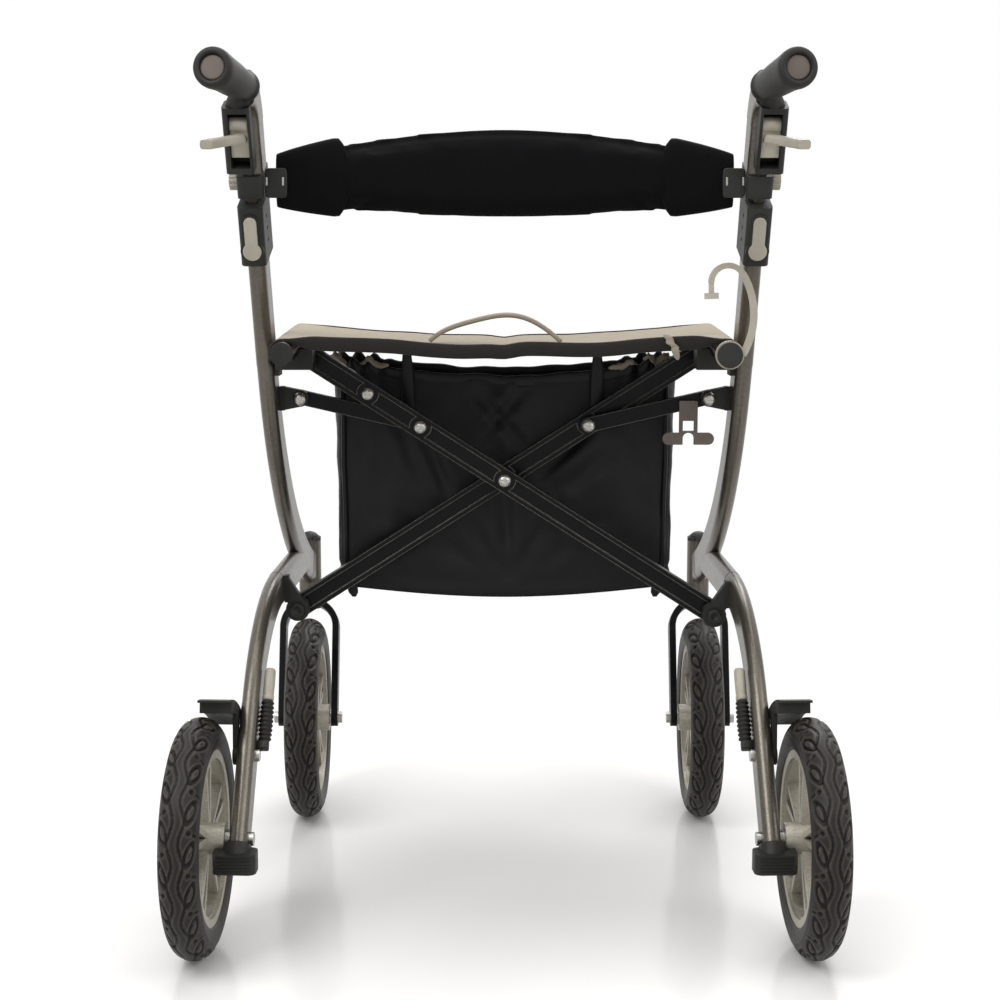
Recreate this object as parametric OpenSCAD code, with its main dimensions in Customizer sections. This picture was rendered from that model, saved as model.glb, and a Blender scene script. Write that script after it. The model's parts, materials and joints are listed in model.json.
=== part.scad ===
// All terrain rollator: two curved side frames that a scissor brace folds together, four large
// wheels, sliding handles with brakes, a sling seat, a padded back strap and a hanging bag.
// Frame: +X to the user's right, +Y forwards, +Z up, origin on the floor midway between the axles.

/* [Layout] */
// Distance between the front and rear axles
wheel_base = 472; // [450:1:500]
// Turn of the side frames that sets the rear wheels wider apart than the front ones
toe = 2.797; // [2:0.001:4]
// Space between a seat tube and the main post beside it
seat_post_gap = 2.96; // [2:0.01:6]
// How far the swivel axis stands ahead of the front axle
caster_trail = 50; // [42:1:56]
// Height of the seat tubes' middle line
seat_height = 592; // [580:1:605]
// Half distance between the seat tubes, and between the lower pivots of the brace
seat_half_width = 228; // [200:0.5:260]

/* [Wheels] */
// Outer diameter of the four tyres
tyre_d = 240; // [232:1:246]
// Width of a tyre
tyre_w = 39; // [36:0.5:45]
// Height of a tyre's wall from its bead to its tread
tyre_wall = 32; // [26:0.5:38]
// Depth of the two running grooves in the tread
tread_groove_depth = 2.5; // [1:0.1:4]
// Radial depth of the rim's ring
rim_depth = 11; // [8:0.5:14]
// Width of the rim's ring
rim_w = 32; // [28:0.5:34]
// Number of spokes, each made of two ribs
spoke_count = 5; // [3:1:7]
// Diameter of the hubs
hub_d = 32; // [28:1:40]
// Diameter of the axles
axle_d = 12; // [8:0.5:14]
// Reach of a rear hub towards the frame
rear_hub_in = 28; // [22:0.5:30]
// Reach of a rear hub away from the frame
rear_hub_out = 17; // [12:0.5:17]
// Half length of a front hub
front_hub_half = 26; // [20:0.5:26]

/* [Frame tubes] */
// Depth of the main posts' oval tube
post_depth = 40; // [36:0.5:44]
// Thickness of the main posts' oval tube
post_t = 18; // [17.5:0.1:20]
// Wall of the main posts
post_wall = 2; // [1.5:0.1:2]
// Length of the straight foot of a main post
post_foot = 30; // [24:1:36]
// Radius of the long bend of a main post
post_bend_r = 470; // [455:1:485]
// Lean of a main post at the swivel tube, from upright
post_low_lean = 70; // [68:0.5:72]
// Lean of the straight top of a main post, from upright
post_top_lean = 21; // [19:0.5:23]
// Height where a main post meets the swivel tube
head_joint_z = 296; // [292:1:300]
// Length of the straight top of a main post
post_straight = 160; // [150:1:162]
// Depth of the rear legs' oval tube
leg_depth = 38; // [34:0.5:40]
// Thickness of the rear legs' oval tube
leg_t = 17; // [15:0.1:17.4]
// Wall of the rear legs
leg_wall = 2; // [1.5:0.1:3]
// Height of a rear leg where it leaves the main post
leg_root_z = 322; // [318:1:326]
// Radius of a rear leg's bend
leg_bend_r = 220; // [200:1:240]
// Slope of the lower end of a rear leg, below level
leg_slope = 54; // [51:0.5:57]
// Space between a rear leg and its tyre
leg_gap = 14; // [13:0.5:18]
// Diameter of the swivel tubes
head_d = 27; // [25:0.5:30]
// Upper end of the swivel tubes
head_z1 = 330; // [326:1:336]
// Height of the domed caps on the swivel tubes
head_cap_h = 11; // [8:0.5:13]
// Diameter of the swivel stems
fork_stem_d = 16; // [12:0.5:18]

/* [Forks] */
// Half distance between the middles of a fork's legs
fork_half_w = 32; // [31:0.5:34]
// Thickness of a fork's legs
fork_t = 8; // [6:0.5:9]
// Width of a fork's legs
fork_w = 22; // [18:0.5:26]
// Height of the middle of a fork's arch above the axle
fork_arch_h = 110; // [104:1:114]

/* [Brace] */
// Height of the lower pivots
pivot_z = 299; // [297:0.5:303]
// Height of a cross bar
bar_h = 24; // [20:0.5:26]
// Thickness of a cross bar
bar_t = 12; // [10:0.5:13]
// Thickness of a cross bar's web
bar_web = 5; // [3:0.5:8]
// Height of the beads along a cross bar's edges
bar_bead = 5; // [3:0.5:6]
// Middle plane of the brace
brace_y = 20; // [14:1:26]
// Space between the two cross bars
bar_gap = 20; // [19:0.5:22]
// Diameter of the brace's pivot pins
pivot_d = 10; // [6:0.5:10]
// Height of a link
link_h = 16; // [14:0.5:20]
// Thickness of a link
link_t = 8; // [6:0.5:8.5]
// Distance of the links' bolts from the brace's middle, along the cross bars
link_bolt_reach = 108; // [100:1:116]
// How far a link's frame pin stands inside the seat tube's middle line
link_pin_in = 7.5; // [6:0.5:10]
// How far a link's frame pin stands below the seat tube's middle line
link_pin_drop = 58; // [52:1:64]
// Diameter of the links' frame pins
link_pin_d = 8; // [6:0.5:9]
// Outer diameter of the seat tubes
seat_tube_d = 24; // [22:0.5:24.5]
// Wall of the seat tubes
seat_tube_wall = 2; // [1.5:0.1:3]
// Near end of the seat tubes
seat_tube_y0 = -108; // [-115:1:-104]
// Far end of the seat tubes
seat_tube_y1 = 125; // [118:1:135]

/* [Handles] */
// Depth of the sliding stems
stem_depth = 35.4; // [32:0.1:35.4]
// Thickness of the sliding stems
stem_t = 13.4; // [12:0.1:13.4]
// Wall of the sliding stems
stem_wall = 1.5; // [1:0.1:3]
// Upper end of a stem, along the post's straight top
stem_top = 262; // [256:1:266]
// Depth of the curved handle tubes
handle_depth = 36; // [32:0.5:40]
// Thickness of the curved handle tubes
handle_t = 14; // [12:0.5:16]
// Reach of the handle tubes and back clamps towards the middle of the part
handle_in = 14; // [13:0.5:14.5]
// Start of the handle's bend, along the post's straight top
handle_bend_start = 263; // [258:1:268]
// Radius of the handle's bend
handle_bend_r = 50; // [44:1:56]
// Angle of the handle's bend
handle_bend = 62; // [56:1:68]
// Outward turn of the grips
grip_splay = 6; // [4:0.5:10]
// Length of a grip
grip_l = 116; // [108:1:126]
// Largest diameter of a grip
grip_d = 39; // [36:0.5:42]
// Diameter of a grip at its root
grip_root_d = 31; // [28:0.5:34]
// Diameter of the tube inside a grip
grip_core_d = 22; // [18:0.5:24]
// Length of a brake lever's paddle
lever_l = 84; // [70:1:96]
// Width of a brake lever's paddle
lever_w = 20; // [15:0.5:24]
// Thickness of a brake lever's paddle
lever_t = 9; // [6:0.5:11]
// Diameter of the clamp knobs
knob_d = 20; // [16:0.5:23]
// Thickness of the clamp knobs
knob_t = 9; // [6:0.5:11]

/* [Height clamps] */
// Lower end of a height clamp, along the post's straight top
clamp_start = 120; // [114:1:124]
// Height of a height clamp
clamp_h = 63; // [60:1:66]
// Width of a height clamp
clamp_w = 26; // [25:0.5:26.5]
// Reach of a height clamp towards the user
clamp_rear = 32; // [30:0.5:35]
// Reach of a height clamp away from the user
clamp_front = 24; // [22.5:0.5:27]
// Diameter of the round end of a release button
button_d = 19; // [15:0.5:20]
// Width of the narrow end of a release button
button_w = 13; // [10:0.5:14]
// How far a release button can be pressed
button_travel = 2.5; // [1.5:0.1:3]

/* [Soft goods] */
// Thickness of the seat cloth
seat_t = 3; // [2:0.1:5]
// Sag of the seat cloth in its middle
seat_sag = 14; // [10:1:22]
// Near edge of the seat cloth
seat_y0 = -98; // [-98:1:-90]
// Far edge of the seat cloth
seat_y1 = 122; // [110:1:122]
// Height of the back pad in its middle
pad_h = 108; // [90:1:120]
// Height of the back pad at its ends
pad_end_h = 44; // [38:1:60]
// Thickness of the back pad in its middle
pad_t = 24; // [16:1:30]
// How far the back pad bows forwards
pad_bow = 34; // [20:1:40]
// Height of the middle line of the back pad
pad_z = 771; // [766:1:776]
// How far the bag's sides stand inside the seat tubes' middle lines
bag_side_in = 50; // [43:1:68]
// Depth of the bag from front to back
bag_depth = 96; // [70:1:110]
// Height of the bag from its floor to its rim
bag_h = 244; // [226:1:251]
// How far the bag's rim hangs below the seat tubes' middle lines
bag_drop = 36; // [32:1:52]
// Wall of the bag
bag_wall = 3; // [2:0.1:5]

/* [Brakes] */
// Outer diameter of the ribbed boots
boot_d = 14; // [10:0.5:15]
// Length of the ribbed boots
boot_l = 44; // [36:1:46]
// Number of ribs on a boot
boot_ribs = 9; // [5:1:12]
// Gap between a brake shoe and its tyre
shoe_gap = 4; // [3.5:0.1:5]
// Thickness of a brake shoe's block
shoe_t = 12; // [9:0.5:14]
// Width of a tip pedal
pedal_w = 43; // [36:1:48]
// Height of a tip pedal's tread
pedal_h = 20; // [16:0.5:24]

/* [Hidden] */
$fn = 64;
// Long bends are drawn finer
bend_facets = 240;

// Fits and clearances
run_fit = 0.05;
slide_fit = 0.3;
body_gap = 0.3;
overrun = 1;
// Step between two lengths of tube that are swaged together, and how far they lap
tube_step = 0.3;
tube_lap = 2;

// Colours
frame_colour = "#55534B";
bar_colour = "#141416";
plastic_colour = "#26272A";
pale_colour = "#A7A59D";
rim_colour = "#A9A79E";
tyre_colour = "#1D1D1C";
steel_colour = "#C6C7C6";
cloth_colour = "#B9AD99";
pad_colour = "#151518";
clip_colour = "#655B54";

// Places that follow from the layout
wheel_r = tyre_d / 2;
rear_y = -wheel_base / 2;
front_y = wheel_base / 2;
stem_y = front_y + caster_trail;
seat_side_x = seat_half_width + seat_tube_d / 2 + seat_post_gap;
front_half_track = seat_side_x + post_t / 2 / cos(toe) - stem_y * tan(toe);
// A rear wheel's middle, out from its leg's middle along the axle
wheel_set = leg_t / 2 + leg_gap + tyre_w / 2;
axle_u = (stem_y - rear_y) / cos(toe);
post_turn = post_top_lean - post_low_lean;
leg_low_run = (leg_root_z - leg_bend_r * (1 - cos(leg_slope)) - wheel_r) / sin(leg_slope);
leg_bend_u = axle_u - leg_low_run * cos(leg_slope) - leg_bend_r * sin(leg_slope);
// A rear leg starts where the middle line of the main post is at the leg's height
post_bend_u = post_foot * sin(post_low_lean);
post_bend_z = head_joint_z + post_foot * cos(post_low_lean);
leg_root_lean = asin(sin(post_low_lean) - (leg_root_z - post_bend_z) / post_bend_r);
leg_root_u = post_bend_u + post_bend_r * (cos(leg_root_lean) - cos(post_low_lean));
// Straight lengths of the posts and legs, swaged over their bends
top_depth = post_depth + 2 * tube_step;
top_t = post_t + 2 * tube_step;
low_leg_depth = leg_depth + 2 * tube_step;
low_leg_t = leg_t + 2 * tube_step;
// The swaged length of a post's top ends just below the height clamp
post_shoulder = clamp_start - tube_lap;
// How far a rear leg runs on past the axle
leg_tail = 20;

// Brace
bar_rise = (seat_height - pivot_z) / 2;
bar_angle = atan(bar_rise / seat_half_width);
bar_half_l = norm([seat_half_width, bar_rise]);
brace_z = pivot_z + bar_rise;
bar_b_y = brace_y - bar_gap / 2 - bar_t / 2;
bar_a_y = brace_y + bar_gap / 2 + bar_t / 2;
bar_end_set = 5;
bar_bolt_d = 8;
bar_head_d = 13;
bar_head_h = 4;
bar_second_bolt_reach = 175;
link_pin_x = seat_half_width - link_pin_in;
link_pin_z = seat_height - link_pin_drop;
link_bolt_x = link_bolt_reach * cos(bar_angle);
link_bolt_z = brace_z + link_bolt_reach * sin(bar_angle);
link_l = norm([link_pin_x - link_bolt_x, link_pin_z - link_bolt_z]);
link_angle = atan((link_pin_z - link_bolt_z) / (link_pin_x - link_bolt_x));

// Wheels
rim_r = wheel_r - tyre_wall;
spoke_rib = 6;
spoke_spread = 16;
spoke_web = 5;
spoke_depth = 24;
rim_lip = 3;
tread_groove_w = 4;
tread_groove_offset = 7;
tyre_side_share = 0.9;
tyre_side_w = tyre_w * tyre_side_share;
axle_washer_d = 18;
axle_head_d = 14;
axle_head_h = 5;

// Forks
fork_tilt = asin(caster_trail / (fork_arch_h + fork_half_w));
fork_top_z = wheel_r + (fork_arch_h + fork_half_w) * cos(fork_tilt);
fork_crown_d = 26;
fork_crown_sink = 7;
fork_head_gap = 0.5;
// The swivel tube starts above the highest edge of the tilted arch
fork_peak_z = wheel_r + (fork_arch_h + fork_half_w + fork_t / 2) * cos(fork_tilt) + fork_w / 2 * sin(fork_tilt);
head_z0 = fork_peak_z + 2 * fork_head_gap;
fork_stem_short = 4;
fork_stem_z1 = head_z1 - fork_stem_short;

// Fittings on the frames
fitting_t = 5;
link_eye_d = 18;
link_eye_t = 10;
link_web_h = 26;
pivot_eye_d = 26;
pivot_eye_t = 10;
pivot_head_d = pivot_d + bar_head_h;
pivot_pad_l = 40;
pivot_pad_h = 30;
saddle_y0 = -46;
saddle_l = 40;
saddle_drop = 22;
saddle_reach = 26;
saddle_pad_h = 30;

// Handles
handle_offset = handle_in - handle_t / 2;
stem_start = 4;
housing_start = 224;
housing_end = 292;
housing_out = 18;
housing_in = 9.5;
housing_rear = 44;
housing_front = 19;
housing_corner = 5;
housing_flank_drop = 10;
window_out = 12;
window_in = 7;
window_start = 230;
window_end = 286;
window_depth = 20;
lever_pin_d = 6;
lever_pin_x = 34;
lever_pin_z = 272;
lever_hub_d = 16;
lever_body_h = 32;
lever_body_depth = 14;
lever_rise = 16;
lever_splay = 15;
lever_drop = 14;
back_clamp_start = 189;
back_clamp_end = 213;
back_clamp_out = 13;
back_clamp_half = 22;
handle_tube_start = back_clamp_end + body_gap;
grip_core_wall = 3;
knob_shaft_d = 6;
knob_gap = 0.6;
knob_scallops = 12;
knob_scallop_d = 4;
grip_start = 6;
grip_rounding = 8;
cap_d = 24;
cap_t = 3;
cap_edge = 1.2;

// Height clamps
clamp_corner = 6;
bezel_w = 2.5;
bezel_h = 1.5;
button_lobe_z = 17;
button_top_z = 54;
button_proud = 2;
button_pocket = 10;
index_size = 4;
index_depth = 1.5;
index_count = 3;
index_pitch = 13;
index_start = 18;
index_x = 14;

// Brakes
brake_pin_d = 8;
brake_pin_back = 88;
shoe_angle = 65;
shoe_span = 30;
shoe_reach = 9;
brake_arm_t = 5;
brake_eye_d = 20;
brake_arm_w = 12;
brake_roof_t = 2.5;
brake_roof_lip = 7;
brake_lap = 0.8;
boot_back = 103;
boot_root_d = 9;
boot_foot_l = 8;
adjuster_d = 9;
adjuster_l = 24;
adjuster_nut_d = 12;
adjuster_nut_l = 6;
cable_d = 4;
cable_l = 12;
stop_l = 9;
pedal_socket_l = 20;
pedal_socket_wall = 4;
pedal_reach = 28;
pedal_set = 12.5;
pedal_raise = 11;
pedal_shift = -1;
pedal_ribs = 5;
pedal_rib_d = 2.4;
pedal_rounding = 8;

// Soft goods
strap_half_l = 64;
strap_rise = 30;
strap_w = 20;
strap_t = 3;
strap_steps = 20;
hanger_w = 16;
hanger_t = 3;
hanger_x = 101;
bag_gap = 12;
bag_y0 = bar_a_y + bar_t / 2 + bag_gap;
bag_half_w = seat_half_width - bag_side_in;
bag_z1 = seat_height - bag_drop;
bag_z0 = bag_z1 - bag_h;
sleeve_steps = 8;
seat_steps = 30;
pad_stations = 24;
pad_sides = 24;
pad_edge_share = 0.3;
pad_swell_power = 4;
plug_t = 4;
plug_insert_l = 12;
plug_flange_t = 2;
plug_flange = 1;

// Fold hook and snap clip
hook_t = 7;
hook_w = 6;
hook_pin_d = seat_tube_d - plug_flange;
hook_ring_wall = 2.5;
hook_ring_d = seat_tube_d + 2 * hook_ring_wall;
hook_ring_w = 7;
// The hook stands behind the tube's end, so that it passes the clamps as the frame folds
hook_stand = 10;
hook_y0 = seat_tube_y0 - hook_stand - hook_ring_w;
hook_start = 60;
hook_long_r = 80;
hook_long_turn = 62;
hook_tight_r = 17;
hook_tight_turn = 150;
hook_run_l = 12;
hook_tip_l = 6;
hook_tip_w = 14;
clip_t = 5;
clip_plate_w = 20;
clip_plate_h = 22;
clip_window_w = 12;
clip_window_h = 11;
clip_bridge = 2;
clip_arch_d = 12;
clip_arch_h = 13;
clip_foot_l = 28;
clip_foot_h = 13;
clip_rise = 2;
clip_from_pin = 22;

// Shared shapes

module oval(long, short) {
    square([long - short, short], center = true);
    for (side = [-1, 1])
        translate([side * (long - short) / 2, 0])
            circle(d = short);
}

module oval_ring(long, short, wall) {
    difference() {
        oval(long, short);
        oval(long - 2 * wall, short - 2 * wall);
    }
}

module soft_box(w, h, corner) {
    square([w - 2 * corner, h], center = true);
    square([w, h - 2 * corner], center = true);
    for (x = [-1, 1], y = [-1, 1])
        translate([x * (w / 2 - corner), y * (h / 2 - corner)])
            circle(r = corner);
}

// A bend of the children's outline that starts along +Z and turns towards +X, or -X if turn < 0
module bend(r, turn) {
    rotate([0, 0, turn < 0 ? 180 : 0])
        translate([r, 0, 0])
            rotate([90, 0, 180])
                rotate_extrude(angle = abs(turn), $fn = bend_facets)
                    translate([r, 0])
                        children();
}

module after_bend(r, turn) {
    translate([sign(turn) * r * (1 - cos(turn)), 0, r * sin(abs(turn))])
        rotate([0, turn, 0])
            children();
}

module along_x(l, d) {
    rotate([0, 90, 0])
        cylinder(h = l, d = d);
}

module along_y(l, d) {
    rotate([-90, 0, 0])
        cylinder(h = l, d = d);
}

// The right side is the left side mirrored
module on_side(side) {
    if (side > 0)
        mirror([1, 0, 0])
            children();
    else
        children();
}

// Side frame's own plane: x rearwards from the swivel axis, y inwards, z up
module in_frame() {
    translate([-front_half_track, stem_y, 0])
        rotate([0, 0, 270 - toe])
            children();
}

module at_post_root() {
    in_frame()
        translate([0, 0, head_joint_z])
            rotate([0, post_low_lean, 0])
                children();
}

// Straight top of the post: z along the tube, x towards the user, y inwards
module at_post_top() {
    at_post_root()
        translate([0, 0, post_foot])
            after_bend(post_bend_r, post_turn)
                children();
}

// Axis of the grip: z along the grip towards the user
module at_grip() {
    at_post_top()
        translate([0, handle_offset, handle_bend_start])
            after_bend(handle_bend_r, handle_bend)
                rotate([grip_splay, 0, 0])
                    children();
}

// Rear axle, square to the side frame: y inwards along the axle
module at_rear_axle() {
    in_frame()
        translate([axle_u, 0, wheel_r])
            children();
}

// Lower straight of the leg, from the axle: z up along the leg, y inwards
module at_leg_foot() {
    at_rear_axle()
        rotate([0, leg_slope - 90, 0])
            children();
}

// Frame tubes

// Long bend of the post with the children's outline
module at_post_bend() {
    at_post_root()
        translate([0, 0, post_foot])
            bend(post_bend_r, post_turn)
                children();
}

module post(side) {
    color(frame_colour)
        on_side(side)
            difference() {
                union() {
                    at_post_root()
                        linear_extrude(post_foot + tube_lap)
                            oval_ring(top_depth, top_t, post_wall);
                    at_post_bend()
                        oval_ring(post_depth, post_t, post_wall);
                    at_post_top() {
                        translate([0, 0, -tube_lap])
                            linear_extrude(post_shoulder + tube_lap)
                                oval_ring(top_depth, top_t, post_wall);
                        translate([0, 0, post_shoulder - tube_lap])
                            linear_extrude(post_straight - post_shoulder + tube_lap)
                                oval_ring(post_depth, post_t, post_wall);
                    }
                }
                swivel_axis_space(head_d);
            }
}

module swivel_axis_space(d) {
    translate([-front_half_track, stem_y, 0])
        cylinder(h = head_z1 + head_cap_h, d = d);
}

module rear_axle_space(d) {
    at_rear_axle()
        translate([0, -wheel_set, 0])
            along_y(wheel_set + low_leg_t, d);
}

module leg(side) {
    color(frame_colour)
        on_side(side)
            difference() {
                in_frame() {
                    translate([leg_root_u, 0, leg_root_z])
                        rotate([0, 90, 0])
                            linear_extrude(leg_bend_u - leg_root_u + tube_lap)
                                oval_ring(low_leg_depth, low_leg_t, leg_wall);
                    translate([leg_bend_u, 0, leg_root_z])
                        rotate([0, 90, 0]) {
                            bend(leg_bend_r, leg_slope)
                                oval_ring(leg_depth, leg_t, leg_wall);
                            after_bend(leg_bend_r, leg_slope)
                                translate([0, 0, -tube_lap])
                                    linear_extrude(tube_lap + leg_low_run + leg_tail)
                                        oval_ring(low_leg_depth, low_leg_t, leg_wall);
                        }
                }
                at_post_bend()
                    oval(post_depth, post_t);
                rear_axle_space(axle_d);
                at_leg_foot()
                    brake_pin_space(brake_pin_d);
            }
}

module brake_pin_space(d) {
    translate([0, -low_leg_t, brake_pin_back])
        along_y(2 * low_leg_t, d);
}

module swivel_tube(side) {
    color(frame_colour)
        on_side(side)
            translate([-front_half_track, stem_y, head_z0])
                difference() {
                    cylinder(h = head_z1 - head_z0, d = head_d);
                    translate([0, 0, -overrun])
                        cylinder(h = head_z1 - head_z0 + 2 * overrun, d = fork_stem_d + 2 * run_fit);
                }
}

// Fittings on a side frame

module head_cap() {
    translate([-front_half_track, stem_y, head_z1])
        rotate_extrude()
            intersection() {
                union() {
                    square([head_d / 2, head_cap_h - head_d / 4]);
                    translate([0, head_cap_h - head_d / 2])
                        circle(d = head_d);
                }
                square([head_d / 2, head_cap_h]);
            }
}

// Pad that lies on the inner face of a frame tube, at a height and a place along Y
module frame_pad(y, z, l, h, face) {
    in_frame()
        translate([(stem_y - y) / cos(toe) - l / 2, face, z - h / 2])
            cube([l, fitting_t, h]);
}

// Distance of a frame tube's inner face from the middle of the part, at a place along Y
function inner_face_x(y, t) = front_half_track + (stem_y - y) * tan(toe) - t / 2 / cos(toe);

module link_bracket() {
    eye_y = brace_y - link_t / 2 - body_gap - link_eye_t;
    mid_y = eye_y + link_eye_t / 2;
    root_x = inner_face_x(mid_y, post_t) - fitting_t / 2;
    difference() {
        union() {
            frame_pad(mid_y, link_pin_z, link_eye_t, link_web_h, post_t / 2);
            translate([0, eye_y + link_eye_t, 0])
                rotate([90, 0, 0])
                    linear_extrude(link_eye_t)
                        polygon([
                            [-root_x, link_pin_z - link_web_h / 2],
                            [-link_pin_x, link_pin_z - link_eye_d / 2],
                            [-link_pin_x, link_pin_z + link_eye_d / 2],
                            [-root_x, link_pin_z + link_web_h / 2]
                        ]);
            translate([-link_pin_x, eye_y, link_pin_z])
                along_y(link_eye_t, link_eye_d);
        }
        translate([-link_pin_x, eye_y - overrun, link_pin_z])
            along_y(link_eye_t + 2 * overrun, link_pin_d);
    }
}

// Thickness of a rear leg where its inner face passes a place along the frame
function leg_face_t(y) = (stem_y - y) / cos(toe) < leg_bend_u ? low_leg_t : leg_t;

module pivot_bracket(bar_y) {
    eye_y = bar_y - bar_t / 2 - body_gap - pivot_eye_t;
    mid_y = eye_y + pivot_eye_t / 2;
    face_t = leg_face_t(mid_y);
    root_x = inner_face_x(mid_y, face_t) - fitting_t / 2;
    pad_z = leg_root_z;
    difference() {
        union() {
            frame_pad(mid_y, pad_z, pivot_eye_t, pivot_pad_h, face_t / 2);
            translate([0, eye_y + pivot_eye_t, 0])
                rotate([90, 0, 0])
                    linear_extrude(pivot_eye_t)
                        polygon([
                            [-root_x, pad_z - pivot_pad_h / 2],
                            [-seat_half_width, pivot_z - pivot_eye_d / 2],
                            [-seat_half_width + pivot_eye_d / 2, pivot_z],
                            [-root_x, pad_z + pivot_pad_h / 2]
                        ]);
            translate([-seat_half_width, eye_y, pivot_z])
                along_y(pivot_eye_t, pivot_eye_d);
        }
        translate([-seat_half_width, eye_y - overrun, pivot_z])
            along_y(pivot_eye_t + 2 * overrun, pivot_d);
    }
}

module seat_saddle() {
    mid_y = saddle_y0 + saddle_l / 2;
    root_x = inner_face_x(mid_y, top_t);
    cradle_d = seat_tube_d + 2 * body_gap;
    top_z = seat_height - body_gap;
    difference() {
        union() {
            frame_pad(mid_y + saddle_l / 4, top_z - saddle_pad_h / 2, saddle_l / 2, saddle_pad_h, top_t / 2);
            translate([-root_x + fitting_t / 2, saddle_y0, top_z - saddle_drop])
                cube([root_x - fitting_t / 2 - seat_half_width + saddle_reach, saddle_l, saddle_drop]);
        }
        translate([-seat_half_width, saddle_y0 - overrun, seat_height])
            along_y(saddle_l + 2 * overrun, cradle_d);
    }
}

module frame_fittings(side, bar_y) {
    color(plastic_colour)
        on_side(side) {
            head_cap();
            link_bracket();
            pivot_bracket(bar_y);
            seat_saddle();
        }
}

// Rear axle, pivot pins and brake pin of a side frame

module rear_axle() {
    inner_y = low_leg_t / 2;
    outer_y = -wheel_set - rear_hub_out;
    washer_y = -wheel_set + rear_hub_in + body_gap;
    at_rear_axle() {
        translate([0, outer_y - axle_head_h, 0])
            along_y(inner_y - outer_y + 2 * axle_head_h, axle_d);
        translate([0, inner_y, 0])
            along_y(axle_head_h, axle_head_d);
        translate([0, washer_y, 0])
            along_y(-inner_y - washer_y, axle_washer_d);
        translate([0, outer_y - axle_head_h, 0])
            along_y(axle_head_h - body_gap, axle_head_d);
    }
}

module pivot_pin(x, bar_y, t, eye_t, z, d, head_d) {
    eye_y = bar_y - t / 2 - body_gap - eye_t;
    translate([x, eye_y, z])
        along_y(eye_t + body_gap + t, d);
    translate([x, eye_y - bar_head_h, z])
        along_y(bar_head_h, head_d);
}

module axle_and_pins(side, bar_y) {
    color(steel_colour)
        on_side(side) {
            rear_axle();
            pivot_pin(-seat_half_width, bar_y, bar_t, pivot_eye_t, pivot_z, pivot_d, pivot_head_d);
            pivot_pin(-link_pin_x, brace_y, link_t, link_eye_t, link_pin_z, link_pin_d, bar_head_d);
            at_leg_foot()
                brake_pin();
        }
}

module brake_pin() {
    pin_y0 = -low_leg_t / 2 - body_gap - brake_arm_t;
    translate([0, pin_y0, brake_pin_back])
        along_y(low_leg_t / 2 - pin_y0 + bar_head_h, brake_pin_d);
    translate([0, low_leg_t / 2, brake_pin_back])
        along_y(bar_head_h, bar_head_d);
}

// Height clamp and its release button, on the straight top of the post

module keyhole(grow) {
    translate([0, button_lobe_z])
        circle(d = button_d + 2 * grow);
    translate([0, (button_lobe_z + button_top_z - button_w / 2) / 2])
        square([button_w + 2 * grow, button_top_z - button_w / 2 - button_lobe_z], center = true);
    translate([0, button_top_z - button_w / 2])
        circle(d = button_w + 2 * grow);
}

// Keyhole outline on the clamp's face towards the user, pushed out from a depth x
module keyhole_block(x, l, grow) {
    translate([x, 0, clamp_start])
        rotate([90, 0, 90])
            linear_extrude(l)
                keyhole(grow);
}

module height_clamp(side) {
    color(plastic_colour)
        on_side(side)
            difference() {
                at_post_top() {
                    translate([(clamp_rear - clamp_front) / 2, 0, clamp_start])
                        linear_extrude(clamp_h)
                            soft_box(clamp_rear + clamp_front, clamp_w, clamp_corner);
                    keyhole_block(clamp_rear - bezel_h, 2 * bezel_h, bezel_w);
                }
                at_post_top() {
                    linear_extrude(post_straight)
                        oval(post_depth, post_t);
                    linear_extrude(clamp_start + clamp_h + overrun)
                        oval(stem_depth + 2 * slide_fit, stem_t + 2 * slide_fit);
                    keyhole_block(clamp_rear - button_pocket, button_pocket + 2 * bezel_h, body_gap);
                    for (i = [0 : index_count - 1])
                        translate([
                            clamp_front - index_x - index_size,
                            clamp_w / 2 - index_depth,
                            clamp_start + index_start + i * index_pitch
                        ])
                            cube([index_size, index_depth + overrun, index_size]);
                }
            }
}

module release_button(side) {
    color(pale_colour)
        on_side(side)
            at_post_top()
                keyhole_block(
                    clamp_rear - button_pocket + button_travel + body_gap,
                    button_pocket - button_travel - body_gap + bezel_h + button_proud,
                    0
                );
}

// Sliding handle

module handle_tube(side) {
    color(frame_colour)
        on_side(side) {
            at_post_top() {
                translate([0, 0, stem_start])
                    linear_extrude(stem_top - stem_start)
                        oval_ring(stem_depth, stem_t, stem_wall);
                translate([0, handle_offset, handle_tube_start])
                    linear_extrude(handle_bend_start - handle_tube_start + tube_lap)
                        oval_ring(handle_depth - 2 * tube_step, handle_t - 2 * tube_step, stem_wall);
                translate([0, handle_offset, handle_bend_start])
                    bend(handle_bend_r, handle_bend)
                        oval_ring(handle_depth, handle_t, stem_wall);
            }
            at_grip()
                difference() {
                    translate([0, 0, -grip_start])
                        cylinder(h = grip_start + grip_l, d = grip_core_d);
                    cylinder(h = grip_l + overrun, d = grip_core_d - 2 * grip_core_wall);
                }
        }
}

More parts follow.
